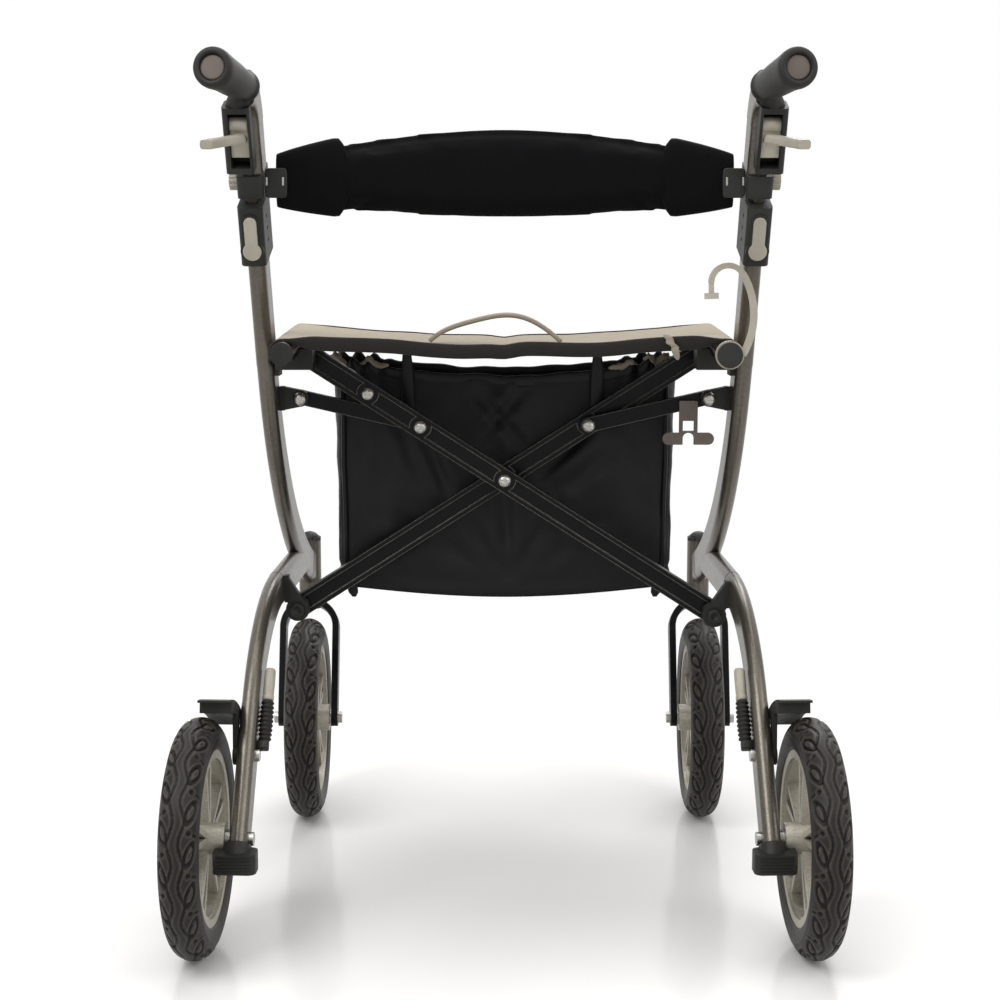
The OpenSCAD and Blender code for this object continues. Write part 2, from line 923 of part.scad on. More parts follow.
module lever_housing(side) {
    block_w = housing_in + housing_out;
    block_y = (housing_in - housing_out) / 2;
    color(plastic_colour)
        on_side(side)
            at_post_top() {
                difference() {
                    union() {
                        translate([(housing_rear + stem_depth / 2) / 2, block_y, housing_start])
                            linear_extrude(housing_end - housing_start)
                                soft_box(housing_rear - stem_depth / 2, block_w, housing_corner);
                        translate([-housing_front, -housing_out, housing_start])
                            cube([
                                housing_front + stem_depth / 2 + housing_corner,
                                housing_out - stem_t / 2,
                                housing_end - housing_flank_drop - housing_start
                            ]);
                    }
                    translate([housing_rear - window_depth, -window_out, window_start])
                        cube([window_depth + overrun, window_out + window_in, window_end - window_start]);
                    translate([0, handle_offset, handle_bend_start])
                        bend(handle_bend_r, handle_bend)
                            oval(handle_depth + 2 * body_gap, handle_t + 2 * body_gap);
                }
                translate([lever_pin_x, -window_out - overrun, lever_pin_z])
                    along_y(window_out + window_in + 2 * overrun, lever_pin_d);
            }
}

module brake_lever(side) {
    hub_w = window_out + window_in - 2 * body_gap;
    splay_shift = (housing_rear - lever_pin_x + lever_hub_d / 2) * tan(lever_splay);
    paddle_w = min(lever_w, (hub_w - splay_shift) * cos(lever_splay));
    color(pale_colour)
        on_side(side)
            at_post_top()
                translate([lever_pin_x, body_gap - window_out, lever_pin_z])
                    difference() {
                        union() {
                            along_y(hub_w, lever_hub_d);
                            translate([-lever_hub_d / 2, 0, -lever_body_h])
                                cube([lever_body_depth, hub_w, lever_body_h]);
                            translate([0, (hub_w + splay_shift) / 2, -lever_drop])
                                rotate([0, 90 - lever_rise, 0])
                                    rotate([lever_splay, 0, 0])
                                        linear_extrude(lever_l)
                                            soft_box(lever_t, paddle_w, lever_t / 3);
                        }
                        translate([0, -overrun, 0])
                            along_y(hub_w + 2 * overrun, lever_pin_d + 2 * run_fit);
                    }
}

module grip(side) {
    nose_r = grip_d / 2 - grip_rounding;
    color(pad_colour)
        on_side(side)
            at_grip()
                difference() {
                    rotate_extrude()
                        union() {
                            polygon([
                                [0, grip_start],
                                [grip_root_d / 2, grip_start],
                                [grip_root_d / 2, grip_start + grip_rounding],
                                [grip_d / 2, grip_start + grip_l - 2 * grip_rounding],
                                [grip_d / 2, grip_start + grip_l - grip_rounding],
                                [0, grip_start + grip_l - grip_rounding]
                            ]);
                            translate([0, grip_start])
                                square([nose_r, grip_l]);
                            translate([nose_r, grip_start + grip_l - grip_rounding])
                                circle(r = grip_rounding);
                        }
                    translate([0, 0, grip_start - overrun])
                        cylinder(h = grip_l - grip_start + overrun, d = grip_core_d + 2 * run_fit);
                    translate([0, 0, grip_l])
                        cylinder(h = grip_start + overrun, d = cap_d + 2 * run_fit);
                }
}

module grip_cap(side) {
    color(clip_colour)
        on_side(side)
            at_grip()
                translate([0, 0, grip_l])
                    rotate_extrude()
                        polygon([
                            [0, 0],
                            [cap_d / 2, 0],
                            [cap_d / 2, cap_t - cap_edge],
                            [cap_d / 2 - cap_edge, cap_t],
                            [0, cap_t]
                        ]);
}

module back_clamp(side) {
    color(plastic_colour)
        on_side(side)
            at_post_top()
                difference() {
                    translate([0, (handle_in - back_clamp_out) / 2, back_clamp_start])
                        linear_extrude(back_clamp_end - back_clamp_start)
                            soft_box(2 * back_clamp_half, handle_in + back_clamp_out, housing_corner);
                    linear_extrude(stem_top)
                        oval(stem_depth, stem_t);
                    translate([0, -back_clamp_out - overrun, (back_clamp_start + back_clamp_end) / 2])
                        along_y(back_clamp_out, knob_shaft_d + 2 * run_fit);
                }
}

module clamp_knob(side) {
    knob_y = -back_clamp_out - knob_gap - knob_t;
    color(pale_colour)
        on_side(side)
            at_post_top()
                translate([0, knob_y, (back_clamp_start + back_clamp_end) / 2]) {
                    difference() {
                        along_y(knob_t, knob_d);
                        for (i = [0 : knob_scallops - 1])
                            rotate([0, i * 360 / knob_scallops, 0])
                                translate([knob_d / 2 + knob_scallop_d / 4, -overrun, 0])
                                    along_y(knob_t + 2 * overrun, knob_scallop_d);
                    }
                    along_y(knob_t + knob_gap + back_clamp_out - stem_t / 2 - body_gap, knob_shaft_d);
                }
}

// Wheels and forks

module fork(side) {
    color(bar_colour)
        on_side(side) {
            translate([-front_half_track, front_y, wheel_r])
                rotate([-fork_tilt, 0, 0])
                    difference() {
                        union() {
                            for (leg_side = [-1, 1]) {
                                translate([leg_side * fork_half_w, 0, 0])
                                    linear_extrude(fork_arch_h)
                                        square([fork_t, fork_w], center = true);
                                translate([leg_side * fork_half_w - fork_t / 2, 0, 0])
                                    along_x(fork_t, fork_w);
                            }
                            translate([0, 0, fork_arch_h])
                                rotate([90, 0, 0])
                                    rotate_extrude(angle = 180)
                                        translate([fork_half_w, 0])
                                            square([fork_t, fork_w], center = true);
                        }
                        translate([-fork_half_w - fork_t, 0, 0])
                            along_x(2 * fork_half_w + 2 * fork_t, axle_d);
                    }
            translate([-front_half_track, stem_y, 0]) {
                translate([0, 0, fork_top_z - fork_crown_sink])
                    cylinder(h = head_z0 - fork_head_gap - fork_top_z + fork_crown_sink, d = fork_crown_d);
                translate([0, 0, fork_top_z])
                    cylinder(h = fork_stem_z1 - fork_top_z, d = fork_stem_d);
            }
        }
}

module front_axle(side) {
    face = fork_half_w + fork_t / 2;
    color(steel_colour)
        on_side(side)
            translate([-front_half_track, front_y, wheel_r])
                for (end = [0, 1])
                    mirror([end, 0, 0]) {
                        along_x(face + axle_head_h, axle_d);
                        translate([face, 0, 0])
                            along_x(axle_head_h, axle_head_d);
                        translate([front_hub_half + body_gap, 0, 0])
                            along_x(fork_half_w - fork_t / 2 - front_hub_half - body_gap, axle_washer_d);
                    }
}

module tyre_shape() {
    rotate([0, 90, 0])
        rotate_extrude()
            difference() {
                union() {
                    translate([wheel_r - tyre_w / 2, 0])
                        circle(d = tyre_w);
                    translate([(rim_r + wheel_r - tyre_w / 2) / 2, 0])
                        square([wheel_r - tyre_w / 2 - rim_r, tyre_side_w], center = true);
                }
                translate([0, -tyre_w])
                    square([rim_r, 2 * tyre_w]);
                for (row = [-1, 1])
                    translate([wheel_r, row * tread_groove_offset])
                        square([2 * tread_groove_depth, tread_groove_w], center = true);
            }
}

module rim_shape(hub_in, hub_out) {
    difference() {
        union() {
            rotate([0, 90, 0])
                rotate_extrude()
                    difference() {
                        translate([rim_r - rim_depth / 2, 0])
                            square([rim_depth, rim_w], center = true);
                        for (face = [-1, 1])
                            translate([rim_r - rim_depth - rim_lip, face * rim_w / 2])
                                square([rim_depth, 2 * rim_lip], center = true);
                    }
            translate([-hub_out, 0, 0])
                along_x(hub_in + hub_out, hub_d);
            for (i = [0 : spoke_count - 1])
                rotate([i * 360 / spoke_count, 0, 0]) {
                    for (rib = [-1, 1])
                        rotate([rib * spoke_spread / 2, 0, 0])
                            translate([-spoke_depth / 2, -spoke_rib / 2, 0])
                                cube([spoke_depth, spoke_rib, rim_r - rim_depth / 2]);
                    rotate([90 - spoke_spread / 2, 0, 0])
                        rotate([0, 90, 0])
                            translate([0, 0, -spoke_web / 2])
                                rotate_extrude(angle = spoke_spread)
                                    square([rim_r - rim_depth / 2, spoke_web]);
                }
        }
        translate([-hub_out - overrun, 0, 0])
            along_x(hub_in + hub_out + 2 * overrun, axle_d + 2 * run_fit);
    }
}

module at_front_wheel(side) {
    on_side(side)
        translate([-front_half_track, front_y, wheel_r])
            children();
}

module at_rear_wheel(side) {
    on_side(side)
        at_rear_axle()
            translate([0, -wheel_set, 0])
                rotate([0, 0, 90])
                    children();
}

module front_rim(side) {
    color(rim_colour)
        at_front_wheel(side)
            rim_shape(front_hub_half, front_hub_half);
}

module front_tyre(side) {
    color(tyre_colour)
        at_front_wheel(side)
            tyre_shape();
}

module rear_rim(side) {
    color(rim_colour)
        at_rear_wheel(side)
            rim_shape(rear_hub_in, rear_hub_out);
}

module rear_tyre(side) {
    color(tyre_colour)
        at_rear_wheel(side)
            tyre_shape();
}

// Brakes and pedals

module brake_shoe(side) {
    block_r0 = wheel_r + shoe_gap;
    block_r1 = block_r0 + shoe_t;
    arm_y = -low_leg_t / 2 - body_gap - brake_arm_t;
    tilt = shoe_angle - leg_slope;
    shoe_x = (block_r0 + block_r1) / 2 * sin(tilt);
    shoe_z = (block_r0 + block_r1) / 2 * cos(tilt);
    arm_l = norm([shoe_x, shoe_z - brake_pin_back]);
    arm_turn = atan2(shoe_x, shoe_z - brake_pin_back);
    block_w = wheel_set + shoe_reach / 2 + arm_y;
    block_y = arm_y + brake_arm_t - brake_lap;
    color(plastic_colour)
        on_side(side)
            at_leg_foot()
                union() {
                    translate([0, arm_y + brake_arm_t, brake_pin_back])
                        rotate([90, 0, 0])
                            linear_extrude(brake_arm_t)
                                difference() {
                                    union() {
                                        circle(d = brake_eye_d);
                                        rotate(-arm_turn)
                                            translate([-brake_arm_w / 2, 0])
                                                square([brake_arm_w, arm_l]);
                                    }
                                    circle(d = brake_pin_d + 2 * run_fit);
                                }
                    translate([0, block_y, 0])
                        rotate([90, 0, 0])
                            rotate([0, 0, 90 - tilt - shoe_span / 2])
                                rotate_extrude(angle = shoe_span)
                                    translate([block_r0, 0])
                                        square([shoe_t, block_w]);
                    translate([0, block_y - brake_lap, 0])
                        rotate([90, 0, 0])
                            rotate([0, 0, 90 - tilt - shoe_span / 2 - brake_roof_lip / 2])
                                rotate_extrude(angle = shoe_span + brake_roof_lip)
                                    translate([block_r1 - brake_lap, 0])
                                        square([brake_roof_t, block_w]);
                }
}

module brake_boot(side) {
    rib_l = boot_l / boot_ribs;
    boot_y = low_leg_t / 2 + boot_d / 2 + body_gap;
    adjuster_z = boot_back + boot_l;
    color(plastic_colour)
        on_side(side)
            at_leg_foot()
                translate([0, boot_y, 0]) {
                    translate([0, 0, boot_back])
                        rotate_extrude()
                            polygon([
                                [0, 0],
                                for (i = [0 : boot_ribs - 1])
                                    each [
                                        [boot_root_d / 2, i * rib_l],
                                        [boot_d / 2, i * rib_l + rib_l / 2]
                                    ],
                                [boot_root_d / 2, boot_l],
                                [0, boot_l]
                            ]);
                    translate([0, 0, adjuster_z]) {
                        cylinder(h = adjuster_l, d = adjuster_d);
                        cylinder(h = adjuster_nut_l, d = adjuster_nut_d);
                        cylinder(h = adjuster_l + cable_l, d = cable_d);
                    }
                    translate([-boot_root_d / 2, -boot_y + low_leg_t / 2, boot_back - boot_foot_l])
                        cube([boot_root_d, boot_y - low_leg_t / 2 + boot_root_d / 2, boot_foot_l]);
                }
}

module tip_pedal(side) {
    socket_depth = low_leg_depth + 2 * pedal_socket_wall;
    socket_w = low_leg_t + 2 * pedal_socket_wall;
    tread_z = pedal_raise - leg_tail * sin(leg_slope) - pedal_h;
    tread_x = pedal_set + leg_tail * cos(leg_slope);
    rib_pitch = pedal_h / (pedal_ribs + 1);
    rib_x = tread_x + pedal_reach / 2;
    color(plastic_colour)
        on_side(side)
            at_rear_axle()
                difference() {
                    union() {
                        rotate([0, leg_slope + 90, 0])
                            translate([0, 0, axle_washer_d / 2 + body_gap])
                                linear_extrude(pedal_socket_l)
                                    oval(socket_depth, socket_w);
                        translate([tread_x, pedal_shift, tread_z])
                            linear_extrude(pedal_h)
                                soft_box(pedal_reach, pedal_w, pedal_rounding);
                    }
                    rotate([0, leg_slope + 90, 0])
                        linear_extrude(leg_tail)
                            oval(low_leg_depth, low_leg_t);
                    translate([0, -wheel_set, 0])
                        along_y(rear_hub_in + 2 * body_gap, hub_d + 4 * body_gap);
                    for (i = [1 : pedal_ribs])
                        translate([rib_x, pedal_shift - pedal_w, tread_z + i * rib_pitch])
                            along_y(2 * pedal_w, pedal_rib_d);
                }
}

// Scissor brace

module bar_outline() {
    edge = bar_h / 2;
    for (side = [-1, 1])
        translate([0, side * (edge - bar_bead / 2)])
            square([bar_t, bar_bead], center = true);
    square([bar_web, bar_h], center = true);
}

// A cross bar along its own +x, from its lower pivot to the seat tube, with a boss at each bolt
module cross_bar(bar_y, bolt_d, bosses) {
    tube_l = seat_tube_y1 - seat_tube_y0;
    translate([0, bar_y, brace_z])
        rotate([0, -bar_angle, 0])
            difference() {
                union() {
                    translate([-bar_half_l, 0, 0])
                        rotate([90, 0, 90])
                            linear_extrude(2 * bar_half_l - bar_end_set)
                                bar_outline();
                    for (x = concat([-bar_half_l, 0], bosses))
                        translate([x, -bar_t / 2, 0])
                            along_y(bar_t, bar_h);
                    translate([bar_half_l, seat_tube_y0 - bar_y, 0])
                        along_y(tube_l, seat_tube_d);
                }
                translate([-bar_half_l, -bar_t, 0])
                    along_y(2 * bar_t, pivot_d + 2 * run_fit);
                translate([0, -bar_t, 0])
                    along_y(2 * bar_t, bolt_d);
                translate([bar_half_l, seat_tube_y0 - bar_y - overrun, 0])
                    along_y(tube_l + 2 * overrun, seat_tube_d - 2 * seat_tube_wall);
            }
}

module cross_bar_a() {
    color(bar_colour)
        cross_bar(bar_a_y, bar_bolt_d + 2 * run_fit, [link_bolt_reach]);
}

module cross_bar_b() {
    color(bar_colour)
        mirror([1, 0, 0])
            cross_bar(bar_b_y, bar_bolt_d, [link_bolt_reach, bar_second_bolt_reach]);
}

module bolt_head(l, d) {
    rotate([90, 0, 0])
        rotate_extrude()
            intersection() {
                translate([0, l - d / 2])
                    circle(d = d);
                square([d / 2, l]);
            }
}

// Bolts that ride on the near bar: the middle pivot and two heads on its face
module cross_bolts() {
    face_y = bar_b_y - bar_t / 2;
    far_y = bar_a_y + bar_t / 2;
    color(steel_colour) {
        translate([0, face_y, brace_z]) {
            along_y(far_y - face_y + bar_head_h, bar_bolt_d);
            bolt_head(bar_head_h, bar_head_d);
            translate([0, bar_t, 0])
                along_y(bar_gap - body_gap, bar_head_d);
            translate([0, far_y - face_y + body_gap, 0])
                along_y(bar_head_h, bar_head_d);
        }
        for (reach = [link_bolt_reach, bar_second_bolt_reach])
            translate([-reach * cos(bar_angle), face_y, brace_z + reach * sin(bar_angle)])
                bolt_head(bar_head_h, bar_head_d);
    }
}

// A link from its frame pin to a cross bar, which it only meets when the brace is open or folded
module link(side) {
    color(bar_colour)
        on_side(side)
            translate([-link_pin_x, brace_y - link_t / 2, link_pin_z])
                rotate([0, link_angle, 0])
                    difference() {
                        union() {
                            translate([0, link_t, 0])
                                rotate([90, 0, 0])
                                    linear_extrude(link_t)
                                        translate([link_l / 2, 0])
                                            oval(link_l + link_h, link_h);
                            translate([link_l, -bar_head_h, 0])
                                along_y(bar_head_h + link_t / 2, bar_head_d);
                        }
                        translate([0, -overrun, 0])
                            along_y(link_t + 2 * overrun, link_pin_d + 2 * run_fit);
                    }
}

module left_seat_plug() {
    color(plastic_colour)
        translate([-seat_half_width, seat_tube_y0 - plug_t, seat_height]) {
            along_y(plug_t, seat_tube_d);
            along_y(plug_t + plug_insert_l, seat_tube_d - 2 * seat_tube_wall);
        }
}

// The right plug stands out further, and carries the fold hook behind its flange
module right_seat_plug() {
    collar_y = plug_flange_t + hook_ring_w + 2 * body_gap;
    collar_l = hook_stand - body_gap;
    color(plastic_colour)
        translate([seat_half_width, hook_y0 - body_gap - plug_flange_t, seat_height]) {
            along_y(plug_flange_t, seat_tube_d + 2 * plug_flange);
            along_y(collar_y + collar_l, hook_pin_d);
            translate([0, collar_y, 0])
                along_y(collar_l, seat_tube_d);
            along_y(collar_y + collar_l + plug_insert_l, seat_tube_d - 2 * seat_tube_wall);
        }
}

// Soft goods

// Seat cloth: half sleeves over the tubes, and an arc that sags between their tops
sleeve_r = seat_tube_d / 2 + body_gap;
seat_arc_r = (seat_half_width * seat_half_width + seat_sag * seat_sag) / (2 * seat_sag);
seat_arc_z = seat_height + sleeve_r - seat_sag + seat_arc_r;
function seat_low_z(x) = seat_arc_z - sqrt(seat_arc_r * seat_arc_r - x * x);

// Outline of the cloth's face that lies a distance from the tubes, from left to right
function seat_face(proud) = [
    for (i = [0 : sleeve_steps])
        let (turn = 180 - i * 90 / sleeve_steps)
        [-seat_half_width + (sleeve_r + proud) * cos(turn), seat_height + (sleeve_r + proud) * sin(turn)],
    for (i = [1 : seat_steps - 1])
        let (x = seat_half_width * (2 * i / seat_steps - 1))
        [x, seat_low_z(x) + proud],
    for (i = [0 : sleeve_steps])
        let (turn = 90 - i * 90 / sleeve_steps)
        [seat_half_width + (sleeve_r + proud) * cos(turn), seat_height + (sleeve_r + proud) * sin(turn)]
];

module seat_sling() {
    upper = seat_face(seat_t);
    lower = seat_face(0);
    color(cloth_colour)
        translate([0, seat_y1, 0])
            rotate([90, 0, 0])
                linear_extrude(seat_y1 - seat_y0)
                    polygon(concat(upper, [for (i = [len(lower) - 1 : -1 : 0]) lower[i]]));
}

// A pull strap arched over the middle of the seat, standing on the cloth
module pull_strap() {
    foot_z = seat_low_z(strap_half_l) + seat_t + body_gap;
    arch_r = (strap_half_l * strap_half_l + strap_rise * strap_rise) / (2 * strap_rise);
    half_turn = asin(strap_half_l / arch_r);
    arch = [for (i = [0 : strap_steps]) 90 + half_turn - 2 * half_turn * i / strap_steps];
    upper = [for (turn = arch) [arch_r * cos(turn), arch_r * sin(turn)]];
    lower = [for (turn = arch) [(arch_r - strap_t) * cos(turn), (arch_r - strap_t) * sin(turn)]];
    color(cloth_colour)
        translate([0, strap_w / 2, foot_z + strap_rise - arch_r + strap_t * sin(half_turn)])
            rotate([90, 0, 0])
                linear_extrude(strap_w)
                    polygon(concat(upper, [for (i = [len(lower) - 1 : -1 : 0]) lower[i]]));
}

// Back pad: a swollen strap, tall and thick in its middle and drawn in at its ends
pad_root_u = post_bend_u + post_bend_r * (cos(post_top_lean) - cos(post_low_lean))
    + (back_clamp_start + back_clamp_end) / 2 * sin(post_top_lean);
pad_root_y = stem_y - pad_root_u * cos(toe);
pad_half_l = front_half_track + pad_root_u * sin(toe) - handle_in - body_gap;

function pad_ring(i) =
    let (
        place = 2 * i / pad_stations - 1,
        swell = 1 - pow(abs(place), pad_swell_power),
        half_h = pad_end_h / 2 + (pad_h - pad_end_h) / 2 * cos(place * 90),
        half_t = pad_t / 2 * (pad_edge_share + (1 - pad_edge_share) * sqrt(swell)),
        x = place * pad_half_l,
        y = pad_root_y + pad_bow * (1 - place * place)
    )
    [for (k = [0 : pad_sides - 1])
        let (turn = k * 360 / pad_sides)
        [x, y + half_t * cos(turn), pad_z + half_h * sin(turn)]];

module back_pad() {
    points = [for (i = [0 : pad_stations]) each pad_ring(i)];
    skin = [
        for (i = [0 : pad_stations - 1], k = [0 : pad_sides - 1])
            let (
                next = (k + 1) % pad_sides,
                a = i * pad_sides + k,
                b = i * pad_sides + next,
                c = (i + 1) * pad_sides + next,
                d = (i + 1) * pad_sides + k
            )
            each [[a, b, c], [a, c, d]]
    ];
    first_end = [for (k = [1 : pad_sides - 2]) [0, k + 1, k]];
    last = pad_stations * pad_sides;
    last_end = [for (k = [1 : pad_sides - 2]) [last, last + k, last + k + 1]];
    color(pad_colour)
        polyhedron(points = points, faces = concat(skin, first_end, last_end));
}

module bag() {
    color(pad_colour)
        difference() {
            translate([-bag_half_w, bag_y0, bag_z0])
                cube([2 * bag_half_w, bag_depth, bag_z1 - bag_z0]);
            translate([-bag_half_w + bag_wall, bag_y0 + bag_wall, bag_z0 + bag_wall])
                cube([2 * bag_half_w - 2 * bag_wall, bag_depth - 2 * bag_wall, bag_z1 - bag_z0]);
        }
}

module bag_hangers() {
    top_z = seat_low_z(hanger_x - hanger_w / 2) - body_gap;
    color(pad_colour)
        for (side = [-1, 1])
            translate([side * hanger_x - hanger_w / 2, bag_y0 - hanger_t, bag_z1 - hanger_w])
                cube([hanger_w, hanger_t, top_z - bag_z1 + hanger_w]);
}

// Fold hook on the right seat tube, and the snap clip on the right link

module hook_outline(inset) {
    square([hook_t - 2 * inset, hook_w - 2 * inset], center = true);
}

module hook_arm() {
    bend(hook_long_r, -hook_long_turn)
        hook_outline(0);
    after_bend(hook_long_r, -hook_long_turn)
        translate([0, 0, -tube_lap]) {
            linear_extrude(2 * tube_lap)
                hook_outline(tube_step);
            translate([0, 0, tube_lap]) {
                bend(hook_tight_r, -hook_tight_turn)
                    hook_outline(2 * tube_step);
                after_bend(hook_tight_r, -hook_tight_turn) {
                    translate([0, 0, -tube_lap])
                        linear_extrude(tube_lap + hook_run_l)
                            hook_outline(3 * tube_step);
                    translate([0, 0, hook_run_l - tube_lap])
                        linear_extrude(hook_tip_l)
                            square([hook_tip_w, hook_w], center = true);
                }
            }
        }
}

module fold_hook() {
    color(pale_colour)
        translate([seat_half_width, hook_y0, seat_height])
            difference() {
                union() {
                    along_y(hook_ring_w, hook_ring_d);
                    translate([(hook_pin_d + hook_ring_d) / 4, hook_ring_w / 2, 0])
                        rotate([0, 90 - hook_start, 0])
                            hook_arm();
                }
                translate([0, -overrun, 0])
                    along_y(hook_ring_w + 2 * overrun, hook_pin_d + 2 * run_fit);
            }
}

module snap_clip() {
    clip_y = brace_y - link_t / 2 - clip_t;
    window_z = clip_plate_h + clip_window_h;
    low_z = window_z + clip_bridge + clip_arch_h;
    foot_end = clip_foot_l - clip_foot_h / 2;
    color(clip_colour)
        translate([
            link_pin_x - clip_from_pin * cos(link_angle),
            clip_y + clip_t,
            link_pin_z - clip_from_pin * sin(link_angle) + clip_rise
        ])
            rotate([90, 0, 0])
                linear_extrude(clip_t)
                    difference() {
                        union() {
                            translate([-clip_plate_w / 2, -low_z])
                                square([clip_plate_w, low_z]);
                            translate([-foot_end, -low_z])
                                square([2 * foot_end, clip_foot_h]);
                            for (side = [-1, 1])
                                translate([side * foot_end, clip_foot_h / 2 - low_z])
                                    circle(d = clip_foot_h);
                        }
                        translate([-clip_window_w / 2, -window_z])
                            square([clip_window_w, clip_window_h]);
                        translate([0, clip_arch_h - clip_arch_d / 2 - low_z])
                            circle(d = clip_arch_d);
                        translate([-clip_arch_d / 2, -low_z - overrun])
                            square([clip_arch_d, overrun + clip_arch_h - clip_arch_d / 2]);
                    }
}

post(-1);  // left_post
post(1);  // right_post
leg(-1);  // left_leg
leg(1);  // right_leg
swivel_tube(-1);  // left_swivel_tube
swivel_tube(1);  // right_swivel_tube
frame_fittings(-1, bar_a_y);  // left_frame_fittings
frame_fittings(1, bar_b_y);  // right_frame_fittings
axle_and_pins(-1, bar_a_y);  // left_axle_and_pins
axle_and_pins(1, bar_b_y);  // right_axle_and_pins
height_clamp(-1);  // left_height_clamp
height_clamp(1);  // right_height_clamp
release_button(-1);  // left_release_button
release_button(1);  // right_release_button
handle_tube(-1);  // left_handle_tube
handle_tube(1);  // right_handle_tube
lever_housing(-1);  // left_lever_housing
lever_housing(1);  // right_lever_housing
brake_lever(-1);  // left_brake_lever
brake_lever(1);  // right_brake_lever
grip(-1);  // left_grip
grip(1);  // right_grip
grip_cap(-1);  // left_grip_cap
grip_cap(1);  // right_grip_cap
back_clamp(-1);  // left_back_clamp
back_clamp(1);  // right_back_clamp
clamp_knob(-1);  // left_clamp_knob
clamp_knob(1);  // right_clamp_knob
fork(-1);  // left_fork
fork(1);  // right_fork
front_axle(-1);  // left_front_axle
front_axle(1);  // right_front_axle
front_rim(-1);  // left_front_rim
front_rim(1);  // right_front_rim
front_tyre(-1);  // left_front_tyre
front_tyre(1);  // right_front_tyre
rear_rim(-1);  // left_rear_rim
rear_rim(1);  // right_rear_rim
rear_tyre(-1);  // left_rear_tyre
rear_tyre(1);  // right_rear_tyre
brake_shoe(-1);  // left_brake_shoe
brake_shoe(1);  // right_brake_shoe
brake_boot(-1);  // left_brake_boot
brake_boot(1);  // right_brake_boot
tip_pedal(-1);  // left_tip_pedal
tip_pedal(1);  // right_tip_pedal
link(-1);  // left_link
link(1);  // right_link
cross_bar_a();
cross_bar_b();
cross_bolts();
left_seat_plug();
right_seat_plug();
seat_sling();
pull_strap();
back_pad();
bag();
bag_hangers();
fold_hook();
snap_clip();
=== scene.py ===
import json
import math

import bmesh
import bpy
import numpy as np
from mathutils import Matrix, Vector, noise


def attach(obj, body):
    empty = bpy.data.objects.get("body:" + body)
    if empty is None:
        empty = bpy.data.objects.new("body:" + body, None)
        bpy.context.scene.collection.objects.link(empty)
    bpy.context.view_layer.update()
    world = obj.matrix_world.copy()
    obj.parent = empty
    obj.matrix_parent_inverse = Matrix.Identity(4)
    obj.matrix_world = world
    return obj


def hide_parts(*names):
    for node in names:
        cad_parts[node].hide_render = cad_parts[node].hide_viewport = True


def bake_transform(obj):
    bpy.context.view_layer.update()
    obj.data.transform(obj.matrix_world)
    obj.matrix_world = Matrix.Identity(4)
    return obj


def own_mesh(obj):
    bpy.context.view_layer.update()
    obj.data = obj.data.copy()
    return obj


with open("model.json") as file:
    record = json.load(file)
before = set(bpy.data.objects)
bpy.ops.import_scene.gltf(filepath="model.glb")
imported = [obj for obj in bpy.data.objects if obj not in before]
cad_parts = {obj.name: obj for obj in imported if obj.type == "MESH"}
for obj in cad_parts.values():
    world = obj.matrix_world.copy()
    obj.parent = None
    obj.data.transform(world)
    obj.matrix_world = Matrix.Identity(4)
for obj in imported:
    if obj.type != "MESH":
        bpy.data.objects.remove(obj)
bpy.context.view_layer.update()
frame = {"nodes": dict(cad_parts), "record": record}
NODES = frame["nodes"]
LEFT, RIGHT = -1, 1
SIDES = (("left", LEFT), ("right", RIGHT))

# Camera, fitted to the photograph
CAMERA_LENS = 75.6
CAMERA_SENSOR = 36.0
CAMERA_PLACE = (-0.005, -2.2484, 0.7755)
CAMERA_TILT = math.radians(81.12)

# Places and sizes repeated from the part's source, in metres
WHEEL_R = 0.120
TYRE_W = 0.039
RIM_R = 0.088
FRONT_X, FRONT_Y = 0.238, 0.236
REAR_Y, WHEEL_SET = -0.236, 0.042
STEM_Y = 0.286
LEG_FOOT_X = 0.2635
TOE = math.atan((LEG_FOOT_X - FRONT_X) / (STEM_Y - REAR_Y))
HEAD_JOINT_Z, POST_FOOT, POST_BEND_R = 0.296, 0.030, 0.470
POST_LOW_LEAN, POST_TOP_LEAN = math.radians(70), math.radians(21)
POST_BEND_BACK = POST_BEND_R * (math.cos(POST_TOP_LEAN) - math.cos(POST_LOW_LEAN))
POST_BEND_RISE = POST_BEND_R * (math.sin(POST_LOW_LEAN) - math.sin(POST_TOP_LEAN))
POST_TOP_BACK = POST_FOOT * math.sin(POST_LOW_LEAN) + POST_BEND_BACK
POST_TOP_Z = HEAD_JOINT_Z + POST_FOOT * math.cos(POST_LOW_LEAN) + POST_BEND_RISE
HANDLE_IN, HANDLE_START = 0.007, 0.263
HANDLE_BEND_R, HANDLE_BEND = 0.050, math.radians(62)
GRIP_SPLAY = math.radians(6)
LEG_SLOPE = math.radians(54)
SEAT_TUBE_X, SEAT_Z = 0.228, 0.592
SEAT_Y0, SEAT_Y1 = -0.098, 0.122
SLEEVE_R = 0.0123
SEAT_SAG = 0.014

